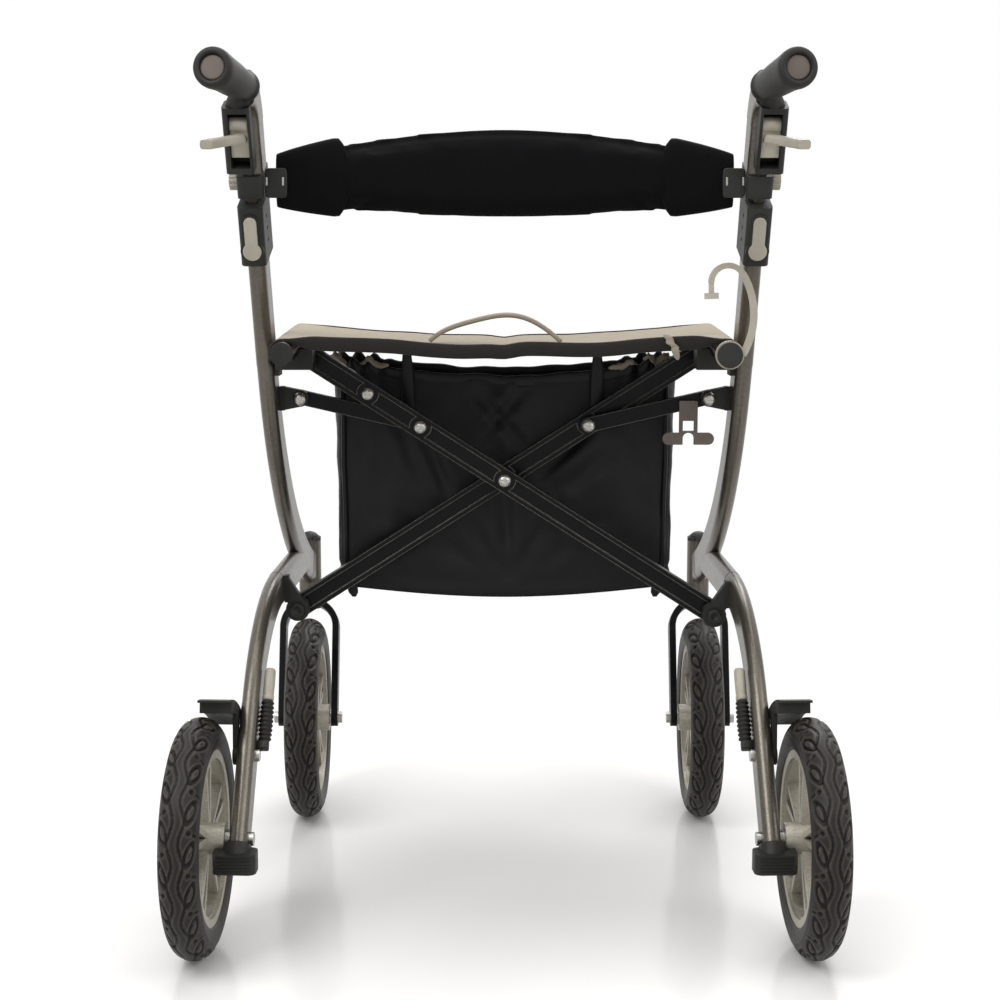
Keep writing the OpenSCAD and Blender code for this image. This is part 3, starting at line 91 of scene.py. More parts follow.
# Colours of the photograph's materials, as hexadecimal shades
SHADES = {
    "frame": "565048", "frame_dark": "3E3A34", "frame_flake": "857E71",
    # The pale edge shade on the next line is a painted highlight along the black paint's rounded edges.
    "black_paint": "0B0B0D", "black_worn": "201F1E", "edge_highlight": "9A968C",
    "black_plastic": "1B1B19", "black_plastic_pale": "2A2A27",
    "pale": "A29D8F", "pale_dark": "898476",
    "clip": "655B54", "clip_dark": "4C443F",
    "steel": "B9B7B2", "steel_dark": "8E8C87",
    "rim": "B2ADA0", "rim_dark": "8E897D",
    # The groove shade is painted shade for the tread's hollows; the dusty tyre shade is real dust and also a
    # painted highlight on the lugs' edges.
    "tyre": "100F0E", "tyre_dust_and_highlight": "3E3933", "groove_shade": "040404",
    "rubber": "191817", "rubber_dust": "2C2927",
    "seat": "AB9F8C", "seat_dark": "8F8472", "seat_edge": "2B2420",
    "strap": "A89E8E", "strap_dark": "857B6C",
    "pad": "0D0D10", "pad_dark": "060607",
    "bag": "0F0F12", "bag_dark": "060607",
    # The darker floor shade is a painted shadow under the object; the pale floor shade is the unshadowed
    # floor.
    # The lump shade is the tie's own pale colour and, on the bag rim's lumps, a painted highlight.
    "lump": "8F8B83", "floor": "BAB9B7", "floor_pale": "E9E8E6", "white": "FFFFFF",
}


def shade(name):
    """A named shade as a linear colour with full alpha."""
    digits = SHADES[name]
    channels = [int(digits[i:i + 2], 16) / 255 for i in (0, 2, 4)]
    return tuple(((c + 0.055) / 1.055) ** 2.4 if c > 0.04045 else c / 12.92 for c in channels) + (1.0,)


class Shader:
    """A node material around one Principled shader, with short ways to add nodes to it."""

    def __init__(self, name, sockets):
        self.material = bpy.data.materials.new(name)
        self.material.use_nodes = True
        self.tree = self.material.node_tree
        self.bsdf = self.tree.nodes["Principled BSDF"]
        self.normal = None
        for key, value in sockets.items():
            self.bsdf.inputs[key].default_value = value

    def add(self, kind, inputs, **settings):
        node = self.tree.nodes.new("ShaderNode" + kind)
        for key, value in settings.items():
            setattr(node, key, value)
        for key, value in inputs.items():
            if isinstance(value, bpy.types.NodeSocket):
                self.tree.links.new(value, node.inputs[key])
            else:
                node.inputs[key].default_value = value
        return node

    def point(self, stretch=(1, 1, 1), source="Object"):
        coords = self.add("TexCoord", {}).outputs[source]
        return self.add("Mapping", {"Vector": coords, "Scale": stretch}).outputs["Vector"]

    def noise(self, vector, scale, detail=2.0, roughness=0.5):
        inputs = {"Vector": vector, "Scale": scale, "Detail": detail, "Roughness": roughness}
        return self.add("TexNoise", inputs).outputs["Fac"]

    def cells(self, vector, scale, output="Distance"):
        return self.add("TexVoronoi", {"Vector": vector, "Scale": scale}).outputs[output]

    def bands(self, vector, scale, direction, profile="SIN"):
        wave = self.add("TexWave", {"Vector": vector, "Scale": scale}, bands_direction=direction)
        wave.wave_profile = profile
        return wave.outputs["Fac"]

    def math(self, operation, first, second):
        return self.add("Math", {0: first, 1: second}, operation=operation).outputs["Value"]

    def ramp(self, factor, stops):
        node = self.add("ValToRGB", {"Fac": factor})
        ramp = node.color_ramp
        while len(ramp.elements) < len(stops):
            ramp.elements.new(1.0)
        for element, (position, colour) in zip(ramp.elements, stops):
            element.position = position
            element.color = colour
        return node.outputs["Color"]

    def grey(self, factor, low, high):
        inputs = {"Value": factor, "To Min": low, "To Max": high}
        return self.add("MapRange", inputs).outputs["Result"]

    def mix(self, factor, first, second):
        node = self.add("Mix", {}, data_type="RGBA")
        for index, value in ((0, factor), (6, first), (7, second)):
            if isinstance(value, bpy.types.NodeSocket):
                self.tree.links.new(value, node.inputs[index])
            else:
                node.inputs[index].default_value = value
        return node.outputs[2]

    def bump(self, height, strength, distance):
        inputs = {"Height": height, "Strength": strength, "Distance": distance}
        if self.normal is not None:
            inputs["Normal"] = self.normal
        self.normal = self.add("Bump", inputs).outputs["Normal"]
        self.set("Normal", self.normal)

    def set(self, socket, value):
        self.tree.links.new(value, self.bsdf.inputs[socket])


# Pattern scales and relief depths of the materials
FINE, MEDIUM, BROAD = 1800.0, 260.0, 18.0
FLAKE, PEBBLE, FUZZ, PEEL = 2600.0, 1500.0, 900.0, 620.0
WEAR_AND_HIGHLIGHT, DYE, TREAD_DUST, RUBBER_DUST, PAINT_DRIFT = 90.0, 60.0, 55.0, 40.0, 9.0
DEEP, MIDDLING, SHALLOW = 0.0006, 0.0005, 0.0004
# Radius and spread of the painted highlight along the rounded edges of the black paint
EDGE_HIGHLIGHT_RADIUS, EDGE_HIGHLIGHT_START, EDGE_HIGHLIGHT_FULL = 0.0012, 0.995, 0.93


def moulded(name, base, pale, roughness, grain, gloss):
    """Moulded plastic: a fine grain, a slow drift of colour and faint scuffs."""
    s = Shader(name, {"Specular IOR Level": gloss})
    at = s.point()
    drift = s.noise(at, BROAD, 4.0)
    scuff = s.noise(s.point((1, 1, 0.3)), MEDIUM, 6.0, 0.7)
    body = s.ramp(drift, ((0.3, shade(base)), (0.75, shade(pale))))
    s.set("Base Color", s.mix(s.grey(scuff, -0.15, 0.25), body, shade(pale)))
    s.set("Roughness", s.grey(scuff, roughness - 0.10, roughness + 0.14))
    s.bump(s.noise(at, FINE, 3.0), grain, DEEP)
    return s.material


def metal_coat():
    """Metallic frame paint: flakes under a satin coat."""
    s = Shader("frame_paint", {"Metallic": 0.72, "Coat Weight": 0.20, "Coat Roughness": 0.12})
    at = s.point()
    flake = s.cells(at, FLAKE, "Color")
    flake = s.add("SeparateColor", {"Color": flake}).outputs[0]
    drift = s.noise(at, PAINT_DRIFT, 3.0)
    body = s.ramp(drift, ((0.3, shade("frame_dark")), (0.7, shade("frame"))))
    s.set("Base Color", s.mix(s.grey(flake, -0.25, 0.55), body, shade("frame_flake")))
    s.set("Roughness", s.grey(s.noise(at, MEDIUM, 4.0), 0.26, 0.44))
    s.bump(flake, 0.05, SHALLOW)
    return s.material


def black_coat():
    """Black enamel with a slight orange peel, and a painted highlight: paler lines along its rounded edges,
    broken up by the wear noise.
    """
    s = Shader("black_paint", {"Coat Weight": 0.05, "Coat Roughness": 0.10, "Specular IOR Level": 0.10})
    at = s.point()
    wear_and_highlight = s.noise(at, WEAR_AND_HIGHLIGHT, 8.0, 0.75)
    body = s.ramp(wear_and_highlight, ((0.58, shade("black_paint")), (0.86, shade("black_worn"))))
    # Painted highlight: where the bevelled normal turns away from the face's normal, the colour goes towards
    # the pale edge shade
    rounded = s.add("Bevel", {"Radius": EDGE_HIGHLIGHT_RADIUS}, samples=4).outputs["Normal"]
    facing = s.add("NewGeometry", {}).outputs["Normal"]
    alike = s.add("VectorMath", {0: rounded, 1: facing}, operation="DOT_PRODUCT").outputs["Value"]
    line = {"Value": alike, "From Min": EDGE_HIGHLIGHT_START, "From Max": EDGE_HIGHLIGHT_FULL}
    edge = s.add("MapRange", line).outputs["Result"]
    s.set("Base Color", s.mix(s.math("MULTIPLY", edge, wear_and_highlight), body, shade("edge_highlight")))
    s.set("Roughness", s.grey(s.noise(at, MEDIUM, 5.0), 0.20, 0.46))
    s.bump(s.noise(at, PEEL, 2.0), 0.10, DEEP)
    return s.material


def plated(name, base, dark, metallic, roughness):
    """Plated or silvered surface with fine turning marks."""
    s = Shader(name, {"Metallic": metallic})
    at = s.point()
    smear = s.noise(s.point((1, 1, 6)), MEDIUM, 6.0, 0.6)
    s.set("Base Color", s.ramp(smear, ((0.3, shade(dark)), (0.65, shade(base)))))
    s.set("Roughness", s.grey(smear, roughness - 0.08, roughness + 0.16))
    s.bump(s.noise(at, FINE, 2.0), 0.08, SHALLOW)
    return s.material


def rubber(name, base, dust, roughness):
    """Rubber: matt, with dust in a fine pebble grain."""
    s = Shader(name, {"Specular IOR Level": 0.26, "Sheen Weight": 0.02, "Sheen Roughness": 0.5})
    at = s.point()
    cloud = s.noise(at, RUBBER_DUST, 6.0, 0.65)
    s.set("Base Color", s.ramp(cloud, ((0.40, shade(base)), (0.80, shade(dust)))))
    s.set("Roughness", s.grey(cloud, roughness - 0.10, roughness + 0.12))
    s.bump(s.cells(at, PEBBLE), 0.16, MIDDLING)
    return s.material


def tread_rubber():
    """Tyre rubber: painted shade makes the grooves blacker and a painted highlight makes the lugs' edges
    browner, with dust in a cloud over all.
    """
    s = Shader("tyre", {"Specular IOR Level": 0.18})
    at = s.point()
    # Painted shade and highlight from the surface's pointiness: hollows go to the groove shade, convex edges
    # to the dusty brown shade
    edge = s.add("NewGeometry", {}).outputs["Pointiness"]
    body = s.ramp(edge, ((0.470, shade("groove_shade")), (0.500, shade("tyre")), (0.540, shade("tyre_dust_and_highlight"))))
    cloud = s.noise(at, TREAD_DUST, 6.0, 0.65)
    s.set("Base Color", s.mix(s.grey(cloud, -0.16, 0.22), body, shade("tyre_dust_and_highlight")))
    s.set("Roughness", s.grey(cloud, 0.34, 0.56))
    s.bump(s.cells(at, PEBBLE), 0.14, MIDDLING)
    return s.material


def woven(name, base, dark, threads, source, sheen, roughness, relief, gloss):
    """Plain weave: two sets of threads that cross, with a mottled dye."""
    s = Shader(name, {"Sheen Weight": sheen, "Sheen Roughness": 0.45, "Specular IOR Level": gloss})
    at = s.point((1, 1, 1), source)
    warp = s.bands(at, threads, "X")
    weft = s.bands(at, threads, "Z" if source == "Object" else "Y")
    weave = s.math("MULTIPLY", warp, weft)
    dye = s.noise(at, DYE, 6.0, 0.6)
    cloth = s.mix(s.grey(weave, 0.15, 0.85), shade(dark), shade(base))
    s.set("Base Color", s.mix(s.grey(dye, -0.1, 0.5), cloth, shade(dark)))
    s.set("Roughness", s.grey(dye, roughness - 0.08, roughness + 0.08))
    s.bump(weave, relief, DEEP)
    s.bump(s.noise(at, FUZZ, 3.0), relief / 2, SHALLOW)
    return s.material


MATERIALS = {
    "frame_paint": metal_coat(),
    "black_paint": black_coat(),
    "black_plastic": moulded("black_plastic", "black_plastic", "black_plastic_pale", 0.46, 0.14, 0.22),
    "pale_plastic": moulded("pale_plastic", "pale", "pale_dark", 0.46, 0.10, 0.40),
    "clip_plastic": moulded("clip_plastic", "clip", "clip_dark", 0.44, 0.12, 0.35),
    "steel": plated("steel", "steel", "steel_dark", 0.95, 0.26),
    "rim_silver": plated("rim_silver", "rim", "rim_dark", 0.35, 0.38),
    "tyre": tread_rubber(),
    "grip_rubber": rubber("grip_rubber", "rubber", "rubber_dust", 0.55),
    "boot_rubber": rubber("boot_rubber", "rubber", "rubber_dust", 0.52),
    "seat_cloth": woven("seat_cloth", "seat", "seat_dark", 330.0, "UV", 0.20, 0.78, 0.35, 0.16),
    "strap_cloth": woven("strap_cloth", "strap", "strap_dark", 260.0, "UV", 0.15, 0.70, 0.5, 0.16),
    "pad_cloth": woven("pad_cloth", "pad", "pad_dark", 420.0, "Object", 0.05, 0.72, 0.25, 0.05),
    "bag_cloth": woven("bag_cloth", "bag", "bag_dark", 380.0, "UV", 0.03, 0.40, 0.3, 0.20),
    # Pale cloth: the tie's own colour, and a painted highlight on the bag rim's lumps
    "lump_cloth": woven("lump_cloth", "lump", "strap_dark", 300.0, "Object", 0.10, 0.60, 0.4, 0.16),
    "edge_tape": woven("edge_tape", "seat_edge", "black_plastic", 300.0, "UV", 0.08, 0.60, 0.4, 0.12),
}


def dress_cad():
    """Gives every CAD node the material of its slot."""
    for row in frame["record"]["subparts"]:
        slots = NODES[row["node"]].data.materials
        slots.clear()
        slots.append(MATERIALS[row["material_slot"]])


# Rounding of the CAD nodes' edges, by the kind of node
EDGE_ROUNDS = {
    "height_clamp": 0.0024, "lever_housing": 0.0022, "brake_lever": 0.0014, "back_clamp": 0.0020,
    "release_button": 0.0010, "frame_fittings": 0.0014, "brake_shoe": 0.0012, "tip_pedal": 0.0012,
    "link": 0.0012, "fork": 0.0020, "seat_plug": 0.0008, "snap_clip": 0.0008, "fold_hook": 0.0012,
    "clamp_knob": 0.0010, "grip_cap": 0.0008, "cross_bar_a": 0.0010, "cross_bar_b": 0.0010,
    "front_rim": 0.0008, "rear_rim": 0.0008,
}
SHARP_ANGLE, FLAT_ANGLE = math.radians(35), math.radians(1)
WELD_REACH, EDGE_SEGMENTS = 1e-5, 3


def soften_cad():
    """Rounds the edges of the moulded and cast nodes as they are drawn."""
    for name, node in NODES.items():
        width = EDGE_ROUNDS.get(name.removeprefix("left_").removeprefix("right_"))
        if width is None:
            continue
        node.modifiers.new("weld", "WELD").merge_threshold = WELD_REACH
        flat = node.modifiers.new("flat", "DECIMATE")
        flat.decimate_type = "DISSOLVE"
        flat.angle_limit = FLAT_ANGLE
        rounding = node.modifiers.new("rounding", "BEVEL")
        rounding.width = width
        rounding.segments = EDGE_SEGMENTS
        rounding.limit_method = "ANGLE"
        rounding.angle_limit = SHARP_ANGLE
        rounding.use_clamp_overlap = True
        rounding.harden_normals = True


# Placement and mesh helpers

TINY = 1e-6
X_AXIS, Y_AXIS, Z_AXIS = Vector((1, 0, 0)), Vector((0, 1, 0)), Vector((0, 0, 1))


def shift(x, y, z):
    return Matrix.Translation((x, y, z))


def turned(angle, axis):
    return Matrix.Rotation(angle, 4, axis)


def after_bend(radius, angle):
    return shift(radius * (1 - math.cos(angle)), 0, radius * math.sin(angle)) @ turned(angle, "Y")


IN_FRAME = shift(-FRONT_X, STEM_Y, 0) @ turned(math.radians(270) - TOE, "Z")
POST_TOP = IN_FRAME @ shift(POST_TOP_BACK, 0, POST_TOP_Z) @ turned(POST_TOP_LEAN, "Y")
HANDLE_END = POST_TOP @ shift(0, HANDLE_IN, HANDLE_START) @ after_bend(HANDLE_BEND_R, HANDLE_BEND)
GRIP_ROOT = HANDLE_END @ turned(GRIP_SPLAY, "X")
AXLE_BACK = (STEM_Y - REAR_Y) / math.cos(TOE)
LEG_FOOT = IN_FRAME @ shift(AXLE_BACK, 0, WHEEL_R) @ turned(LEG_SLOPE - math.pi / 2, "Y")
REAR_WHEEL = IN_FRAME @ shift(AXLE_BACK, -WHEEL_SET, WHEEL_R) @ turned(math.pi / 2, "Z")


def smooth(x):
    """0 below 0, 1 above 1 and an even step between."""
    x = np.clip(x, 0, 1)
    return x * x * (3 - 2 * x)


def drift(a, b, seed):
    """Slow noise between -1 and 1 over two running values."""
    return noise.noise(Vector((a, b, seed)))


def add_object(name, data):
    made = bpy.data.objects.new(name, data)
    bpy.context.scene.collection.objects.link(made)
    return made


def make_piece(name, points, faces, slot, body=None, side=LEFT, uvs=None, look=None):
    """A new mesh piece in the shared frame. The right side is the left side mirrored."""
    points = [tuple(p) for p in points]
    if side == RIGHT:
        points = [(-x, y, z) for x, y, z in points]
        faces = [tuple(reversed(face)) for face in faces]
    mesh = bpy.data.meshes.new(name)
    mesh.from_pydata(points, [], faces)
    mesh.update()
    mesh.shade_smooth()
    if uvs is not None:
        layer = mesh.uv_layers.new(name="UVMap")
        for loop in mesh.loops:
            layer.data[loop.index].uv = uvs[loop.vertex_index]
    mesh.materials.append(MATERIALS[look or slot])
    piece = add_object(name, mesh)
    if body is not None:
        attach(piece, body)
    return piece


def grid_faces(rows, columns, wrap_rows=False, wrap_columns=False):
    """Quads over a grid of points stored row by row."""
    faces = []
    for r in range(rows if wrap_rows else rows - 1):
        for c in range(columns if wrap_columns else columns - 1):
            right, below = (c + 1) % columns, (r + 1) % rows
            faces.append((r * columns + c, r * columns + right, below * columns + right, below * columns + c))
    return faces


def revolve(profile, steps, place):
    """Points and faces turned about place's z axis, from (radius, height) pairs from the axis to the axis."""
    points, faces, rings = [], [], []
    for radius, height in profile:
        count = 1 if radius < TINY else steps
        rings.append([len(points) + i for i in range(count)])
        for i in range(count):
            angle = 2 * math.pi * i / steps
            points.append(place @ Vector((radius * math.cos(angle), radius * math.sin(angle), height)))
    for low, high in zip(rings, rings[1:]):
        for i in range(steps):
            j = (i + 1) % steps
            ends = [low[i % len(low)], low[j % len(low)], high[j % len(high)], high[i % len(high)]]
            face = tuple(dict.fromkeys(ends))
            if len(face) > 2:
                faces.append(face)
    return points, faces


def oval(steps, half_w, half_h, fill=1.0, fill_up=None):
    """Pairs of offsets round an oval. A fill below 1 makes it fuller towards its corners."""
    pairs = []
    for k in range(steps):
        angle = 2 * math.pi * k / steps
        across, up = math.cos(angle), math.sin(angle)
        wide = math.copysign(abs(across) ** fill, across)
        high = math.copysign(abs(up) ** (fill_up or fill), up)
        pairs.append((half_w * wide, half_h * high))
    return pairs


def crumpled(pairs, depth, pitch, row, seed):
    """Offsets pushed in and out by noise, for gathered cloth."""
    swell = [1 + depth * drift(k * pitch, row, seed) for k in range(len(pairs))]
    return [(a * s, b * s) for (a, b), s in zip(pairs, swell)]


def ring_at(middle, pairs, across=X_AXIS, up=Y_AXIS):
    """A closed outline round a point, from pairs of offsets along two directions."""
    return [middle + across * a + up * b for a, b in pairs]


def loft(rings, closed_ends):
    """Points and faces through closed outlines of equal count."""
    steps = len(rings[0])
    points = [p for ring in rings for p in ring]
    faces = grid_faces(len(rings), steps, wrap_columns=True)
    if closed_ends:
        last = (len(rings) - 1) * steps
        faces.append(tuple(reversed(range(steps))))
        faces.append(tuple(last + k for k in range(steps)))
    return points, faces


def outward(piece):
    """Turns a closed piece's faces outwards."""
    shape = bmesh.new()
    shape.from_mesh(piece.data)
    bmesh.ops.recalc_face_normals(shape, faces=shape.faces)
    shape.to_mesh(piece.data)
    shape.free()


def make_solid(name, rings, slot, body=None, side=LEFT, uvs=None, look=None):
    """A closed piece through outlines, with its faces turned outwards."""
    piece = make_piece(name, *loft(rings, True), slot, body, side, uvs, look)
    outward(piece)
    return piece


def add_thickness(piece, thickness, offset):
    solid = piece.modifiers.new("thickness", "SOLIDIFY")
    solid.thickness = thickness
    solid.offset = offset


def add_subdivision(piece, levels):
    smoother = piece.modifiers.new("subdivision", "SUBSURF")
    smoother.levels = levels
    smoother.render_levels = levels


def apply_modifiers(piece):
    """Keeps the mesh that the piece's modifiers give, and drops them."""
    evaluated = piece.evaluated_get(bpy.context.evaluated_depsgraph_get())
    made = bpy.data.meshes.new_from_object(evaluated)
    piece.modifiers.clear()
    piece.data = made
    made.shade_smooth()


# Tyres

TYRE_TURNS, TYRE_STEPS = 480, 60
TYRE_PITCHES = 18
TYRE_ROUND_R = TYRE_W / 2
TYRE_ROUND_END, SIDE_TAPER = math.radians(124), 0.0026
TREAD_END = math.radians(72)
LEAF_LEAN = math.radians(22)
LEAF_LENGTH, LEAF_WIDTH, LEAF_PLACE = 0.0116, 0.0044, 0.62
LEAF_EDGE, LEAF_DEPTH, LEAF_CROWN = 0.30, 0.0026, 0.0006
DOT_R, DOT_DEPTH, DOT_PLACE = 0.0020, 0.0024, 0.56
WAVE_PLACE, WAVE_SWING, WAVE_HALF_W, WAVE_DEPTH = 0.0056, 0.0024, 0.0011, 0.0016
SIPE_HALF_W, SIPE_DEPTH = 0.0010, 0.0012
SIDE_BEAD_AT, SIDE_BEAD_W, SIDE_BEAD_H = math.radians(88), math.radians(5), 0.0006


def tread_depth(angle, tilt):
    """How far the rubber lies below the smooth round, at an angle around the wheel and across the section."""
    pitch = 2 * math.pi * WHEEL_R / TYRE_PITCHES
    half_arc = TYRE_ROUND_R * TREAD_END
    across = tilt / TREAD_END
    hand = np.where(tilt < 0, -1.0, 1.0)
    phase = angle * TYRE_PITCHES / (2 * math.pi) + np.where(tilt < 0, 0.0, 0.5)
    along = (np.mod(phase, 1) - 0.5) * pitch
    out = (np.abs(across) - LEAF_PLACE) * half_arc
    p = along * math.cos(LEAF_LEAN) + out * math.sin(LEAF_LEAN)
    q = out * math.cos(LEAF_LEAN) - along * math.sin(LEAF_LEAN)
    reach = np.sqrt((p / LEAF_LENGTH) ** 2 + (q / LEAF_WIDTH) ** 2)
    depth = LEAF_DEPTH * smooth(1.4 - np.abs(reach - 1) / LEAF_EDGE)
    depth = depth - LEAF_CROWN * smooth(1.2 - reach * 1.5)
    beside = (np.mod(phase + 0.5, 1) - 0.5) * pitch
    dot = np.hypot(beside, (np.abs(across) - DOT_PLACE) * half_arc)
    depth = np.maximum(depth, DOT_DEPTH * smooth(1.5 - dot / DOT_R))
    swing = WAVE_SWING * np.sin(2 * math.pi * phase)
    wave = np.abs(tilt * TYRE_ROUND_R - hand * (WAVE_PLACE + swing))
    depth = np.maximum(depth, WAVE_DEPTH * smooth(1.4 - wave / WAVE_HALF_W))
    sipe = np.abs(beside + out * math.tan(LEAF_LEAN))
    outer = smooth((np.abs(across) - DOT_PLACE - 0.12) * 8)
    depth = np.maximum(depth, SIPE_DEPTH * outer * smooth(1.4 - sipe / SIPE_HALF_W))
    return depth * smooth((1 - np.abs(across)) * 9)


def make_tyre(name, body, node, place, side):
    """A treaded tyre about place's x axis: a round tread with sidewalls down to the rim."""
    tilts = np.linspace(-TYRE_ROUND_END, TYRE_ROUND_END, TYRE_STEPS)
    angles = np.arange(TYRE_TURNS) * 2 * math.pi / TYRE_TURNS
    angle, tilt = np.meshgrid(angles, tilts, indexing="ij")
    bead = SIDE_BEAD_H * smooth(1 - np.abs(np.abs(tilt) - SIDE_BEAD_AT) / SIDE_BEAD_W)
    round_r = TYRE_ROUND_R - tread_depth(angle, tilt) + bead
    middle_r = WHEEL_R - TYRE_ROUND_R
    past = np.clip((np.abs(tilt) - math.pi / 2) / (TYRE_ROUND_END - math.pi / 2), 0, 1)
    out = middle_r + np.where(past > 0, -past * (middle_r - RIM_R), round_r * np.cos(tilt))
    along = np.where(past > 0, np.sign(tilt) * (round_r - SIDE_TAPER * past ** 2), round_r * np.sin(tilt))
    local = np.stack([along, out * np.sin(angle), out * np.cos(angle)], axis=-1).reshape(-1, 3)
    points = local @ np.array(place.to_3x3()).T + np.array(place.translation)
    faces = grid_faces(TYRE_TURNS, TYRE_STEPS, wrap_rows=True, wrap_columns=True)
    tyre = make_piece(name, points, faces, "tyre", body, side)
    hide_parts(node)


def make_tyres():
    places = {"front": shift(-FRONT_X, FRONT_Y, WHEEL_R), "rear": REAR_WHEEL}
    for hand, side in SIDES:
        for end, place in places.items():
            wheel = f"{hand}_{end}"
            make_tyre(f"{wheel}_tread", f"{wheel}_wheel", f"{wheel}_tyre", place, side)


# Seat cloth, its bound edges and the pull strap

SEAT_T = 0.0026
SEAT_ROWS, SEAT_COLUMNS, SLEEVE_STEPS = 34, 64, 12
SLEEVE_END = math.radians(212)
SEAT_WAVE, SEAT_WAVE_COUNT, SEAT_WAVE_START = 0.0016, 3.0, 0.6
SEAT_NEAR_REACH, SEAT_NEAR_RISE = 0.07, 0.0045
SEAT_PUCKER, PUCKER_X, PUCKER_Y = 0.0012, 26, 20
SEAT_FOLD_DIP, SEAT_FOLD_W = 0.0022, 0.012
BINDING_TAPER, BINDING_END_H, BINDING_STEPS = 0.036, 0.004, 14
BINDING_SWAY, SWAY_ALONG, SWAY_Y = 0.0012, 30, 9
NEAR_BINDING, FAR_BINDING = (0.0064, 0.0150, 0.0046), (0.0052, 0.0100, 0.0012)
TAPE_FILL = 0.6
STRAP_X, STRAP_HALF_L, STRAP_RISE, STRAP_HALF_W, STRAP_T = -0.010, 0.070, 0.031, 0.010, 0.0042
STRAP_STEPS, STRAP_LIFT, STRAP_SKEW, STRAP_KEEP = 48, 0.0004, 0.0035, 0.3
STRAP_WIDTH_SHARES = (-1, -0.94, -0.5, 0, 0.5, 0.94, 1)


def seat_height(x, y):
    """Height of the cloth's lower face between the tubes, with its sag, ripples and middle fold line."""
    share = x / SEAT_TUBE_X
    near = smooth((SEAT_Y0 + SEAT_NEAR_REACH - y) / SEAT_NEAR_REACH)
    ripple = SEAT_WAVE * near * math.sin(SEAT_WAVE_COUNT * math.pi * share + SEAT_WAVE_START)
    pucker = SEAT_PUCKER * drift(x * PUCKER_X, y * PUCKER_Y, 3.1)
    fold = SEAT_FOLD_DIP * math.exp(-(x / SEAT_FOLD_W) ** 2)
    rise = SEAT_NEAR_RISE * near * (1 - share ** 4)
    return SEAT_Z + SLEEVE_R + (ripple + pucker - SEAT_SAG) * (1 - share * share) + rise - fold


def seat_section(y, proud):
    """Points across the seat at one depth, from the left sleeve over the cloth to the right sleeve."""
    radius = SLEEVE_R + proud
    sleeve = []
    for i in range(SLEEVE_STEPS):
        angle = SLEEVE_END + (math.pi / 2 - SLEEVE_END) * i / SLEEVE_STEPS
        sleeve.append((-SEAT_TUBE_X + radius * math.cos(angle), SEAT_Z + radius * math.sin(angle)))
    across = []
    for i in range(SEAT_COLUMNS + 1):
        x = SEAT_TUBE_X * (2 * i / SEAT_COLUMNS - 1)
        across.append((x, seat_height(x, y) + proud))
    other = [(-x, z) for x, z in reversed(sleeve)]
    return [Vector((x, y, z)) for x, z in sleeve + across + other]


def run_lengths(points):
    """Distance along a row of points, from its start."""
    lengths = [0.0]
    for a, b in zip(points, points[1:]):
        lengths.append(lengths[-1] + (b - a).length)
    return lengths


def make_seat():
    points, uvs = [], []
    for i in range(SEAT_ROWS):
        y = SEAT_Y0 + (SEAT_Y1 - SEAT_Y0) * i / (SEAT_ROWS - 1)
        row = seat_section(y, SEAT_T / 2)
        points += row
        uvs += [(length, y) for length in run_lengths(row)]
    faces = grid_faces(SEAT_ROWS, len(points) // SEAT_ROWS)
    seat = make_piece("seat_cloth", points, faces, "seat_cloth", uvs=uvs)
    add_thickness(seat, SEAT_T, 0.0)
    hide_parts("seat_sling")
    bindings = [make_binding("seat_edge_near", SEAT_Y0, *NEAR_BINDING),
                make_binding("seat_edge_far", SEAT_Y1, *FAR_BINDING)]
    for piece in [seat, *bindings]:
        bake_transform(piece)


def make_binding(name, y, thick, high, lap):
    """A folded tape round one free edge of the seat, standing above the cloth by the lap."""
    row = seat_section(y, SEAT_T / 2)
    lengths = run_lengths(row)
    rings, uvs = [], []
    for i, point in enumerate(row):
        along = row[min(i + 1, len(row) - 1)] - row[max(i - 1, 0)]
        up = along.cross(Y_AXIS).normalized()
        full = float(smooth((SEAT_TUBE_X - abs(point.x)) / BINDING_TAPER))
        half = (BINDING_END_H + (high - BINDING_END_H) * full) / 2
        sway = BINDING_SWAY * drift(lengths[i] * SWAY_ALONG, y * SWAY_Y, 1.7)
        middle = point + up * (lap * full + SEAT_T / 2 - half) + Y_AXIS * sway
        rings.append(ring_at(middle, oval(BINDING_STEPS, thick / 2, half, TAPE_FILL), Y_AXIS, up))
        uvs += [(lengths[i], k * high * 2 / BINDING_STEPS) for k in range(BINDING_STEPS)]
    return make_solid(name, rings, "seat_cloth", uvs=uvs, look="edge_tape")


def make_strap():
    """The pull strap: a stiff webbing arch whose ends lie sewn on the cloth."""
    above = SEAT_T + STRAP_T / 2 + STRAP_LIFT
    start, end = [seat_height(STRAP_X + turn * STRAP_HALF_L, 0) + above for turn in (-1, 1)]
    radius = (STRAP_HALF_L ** 2 + STRAP_RISE ** 2) / (2 * STRAP_RISE)
    half_turn = math.asin(STRAP_HALF_L / radius)
    line = []
    for i in range(STRAP_STEPS + 1):
        angle = half_turn * (1 - 2 * i / STRAP_STEPS)
        x = -radius * math.sin(angle)
        lift = radius * math.cos(angle) - radius + STRAP_RISE
        skew = STRAP_SKEW * math.sin(math.pi * x / STRAP_HALF_L)
        foot = start + (end - start) * (x / STRAP_HALF_L + 1) / 2
        line.append(Vector((STRAP_X + x, 0, foot + lift * (1 + (skew - STRAP_T) / STRAP_RISE))))
    lengths = run_lengths(line)
    points = [p + Y_AXIS * w * STRAP_HALF_W for p in line for w in STRAP_WIDTH_SHARES]
    uvs = [(w * STRAP_HALF_W, length) for length in lengths for w in STRAP_WIDTH_SHARES]
    faces = grid_faces(len(line), len(STRAP_WIDTH_SHARES))
    strap = make_piece("pull_strap_webbing", points, faces, "strap_cloth", "sling", uvs=uvs)
    add_thickness(strap, STRAP_T, 0.0)
    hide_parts("pull_strap")
    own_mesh(strap)


# Back pad: a stuffed middle and two open sleeves

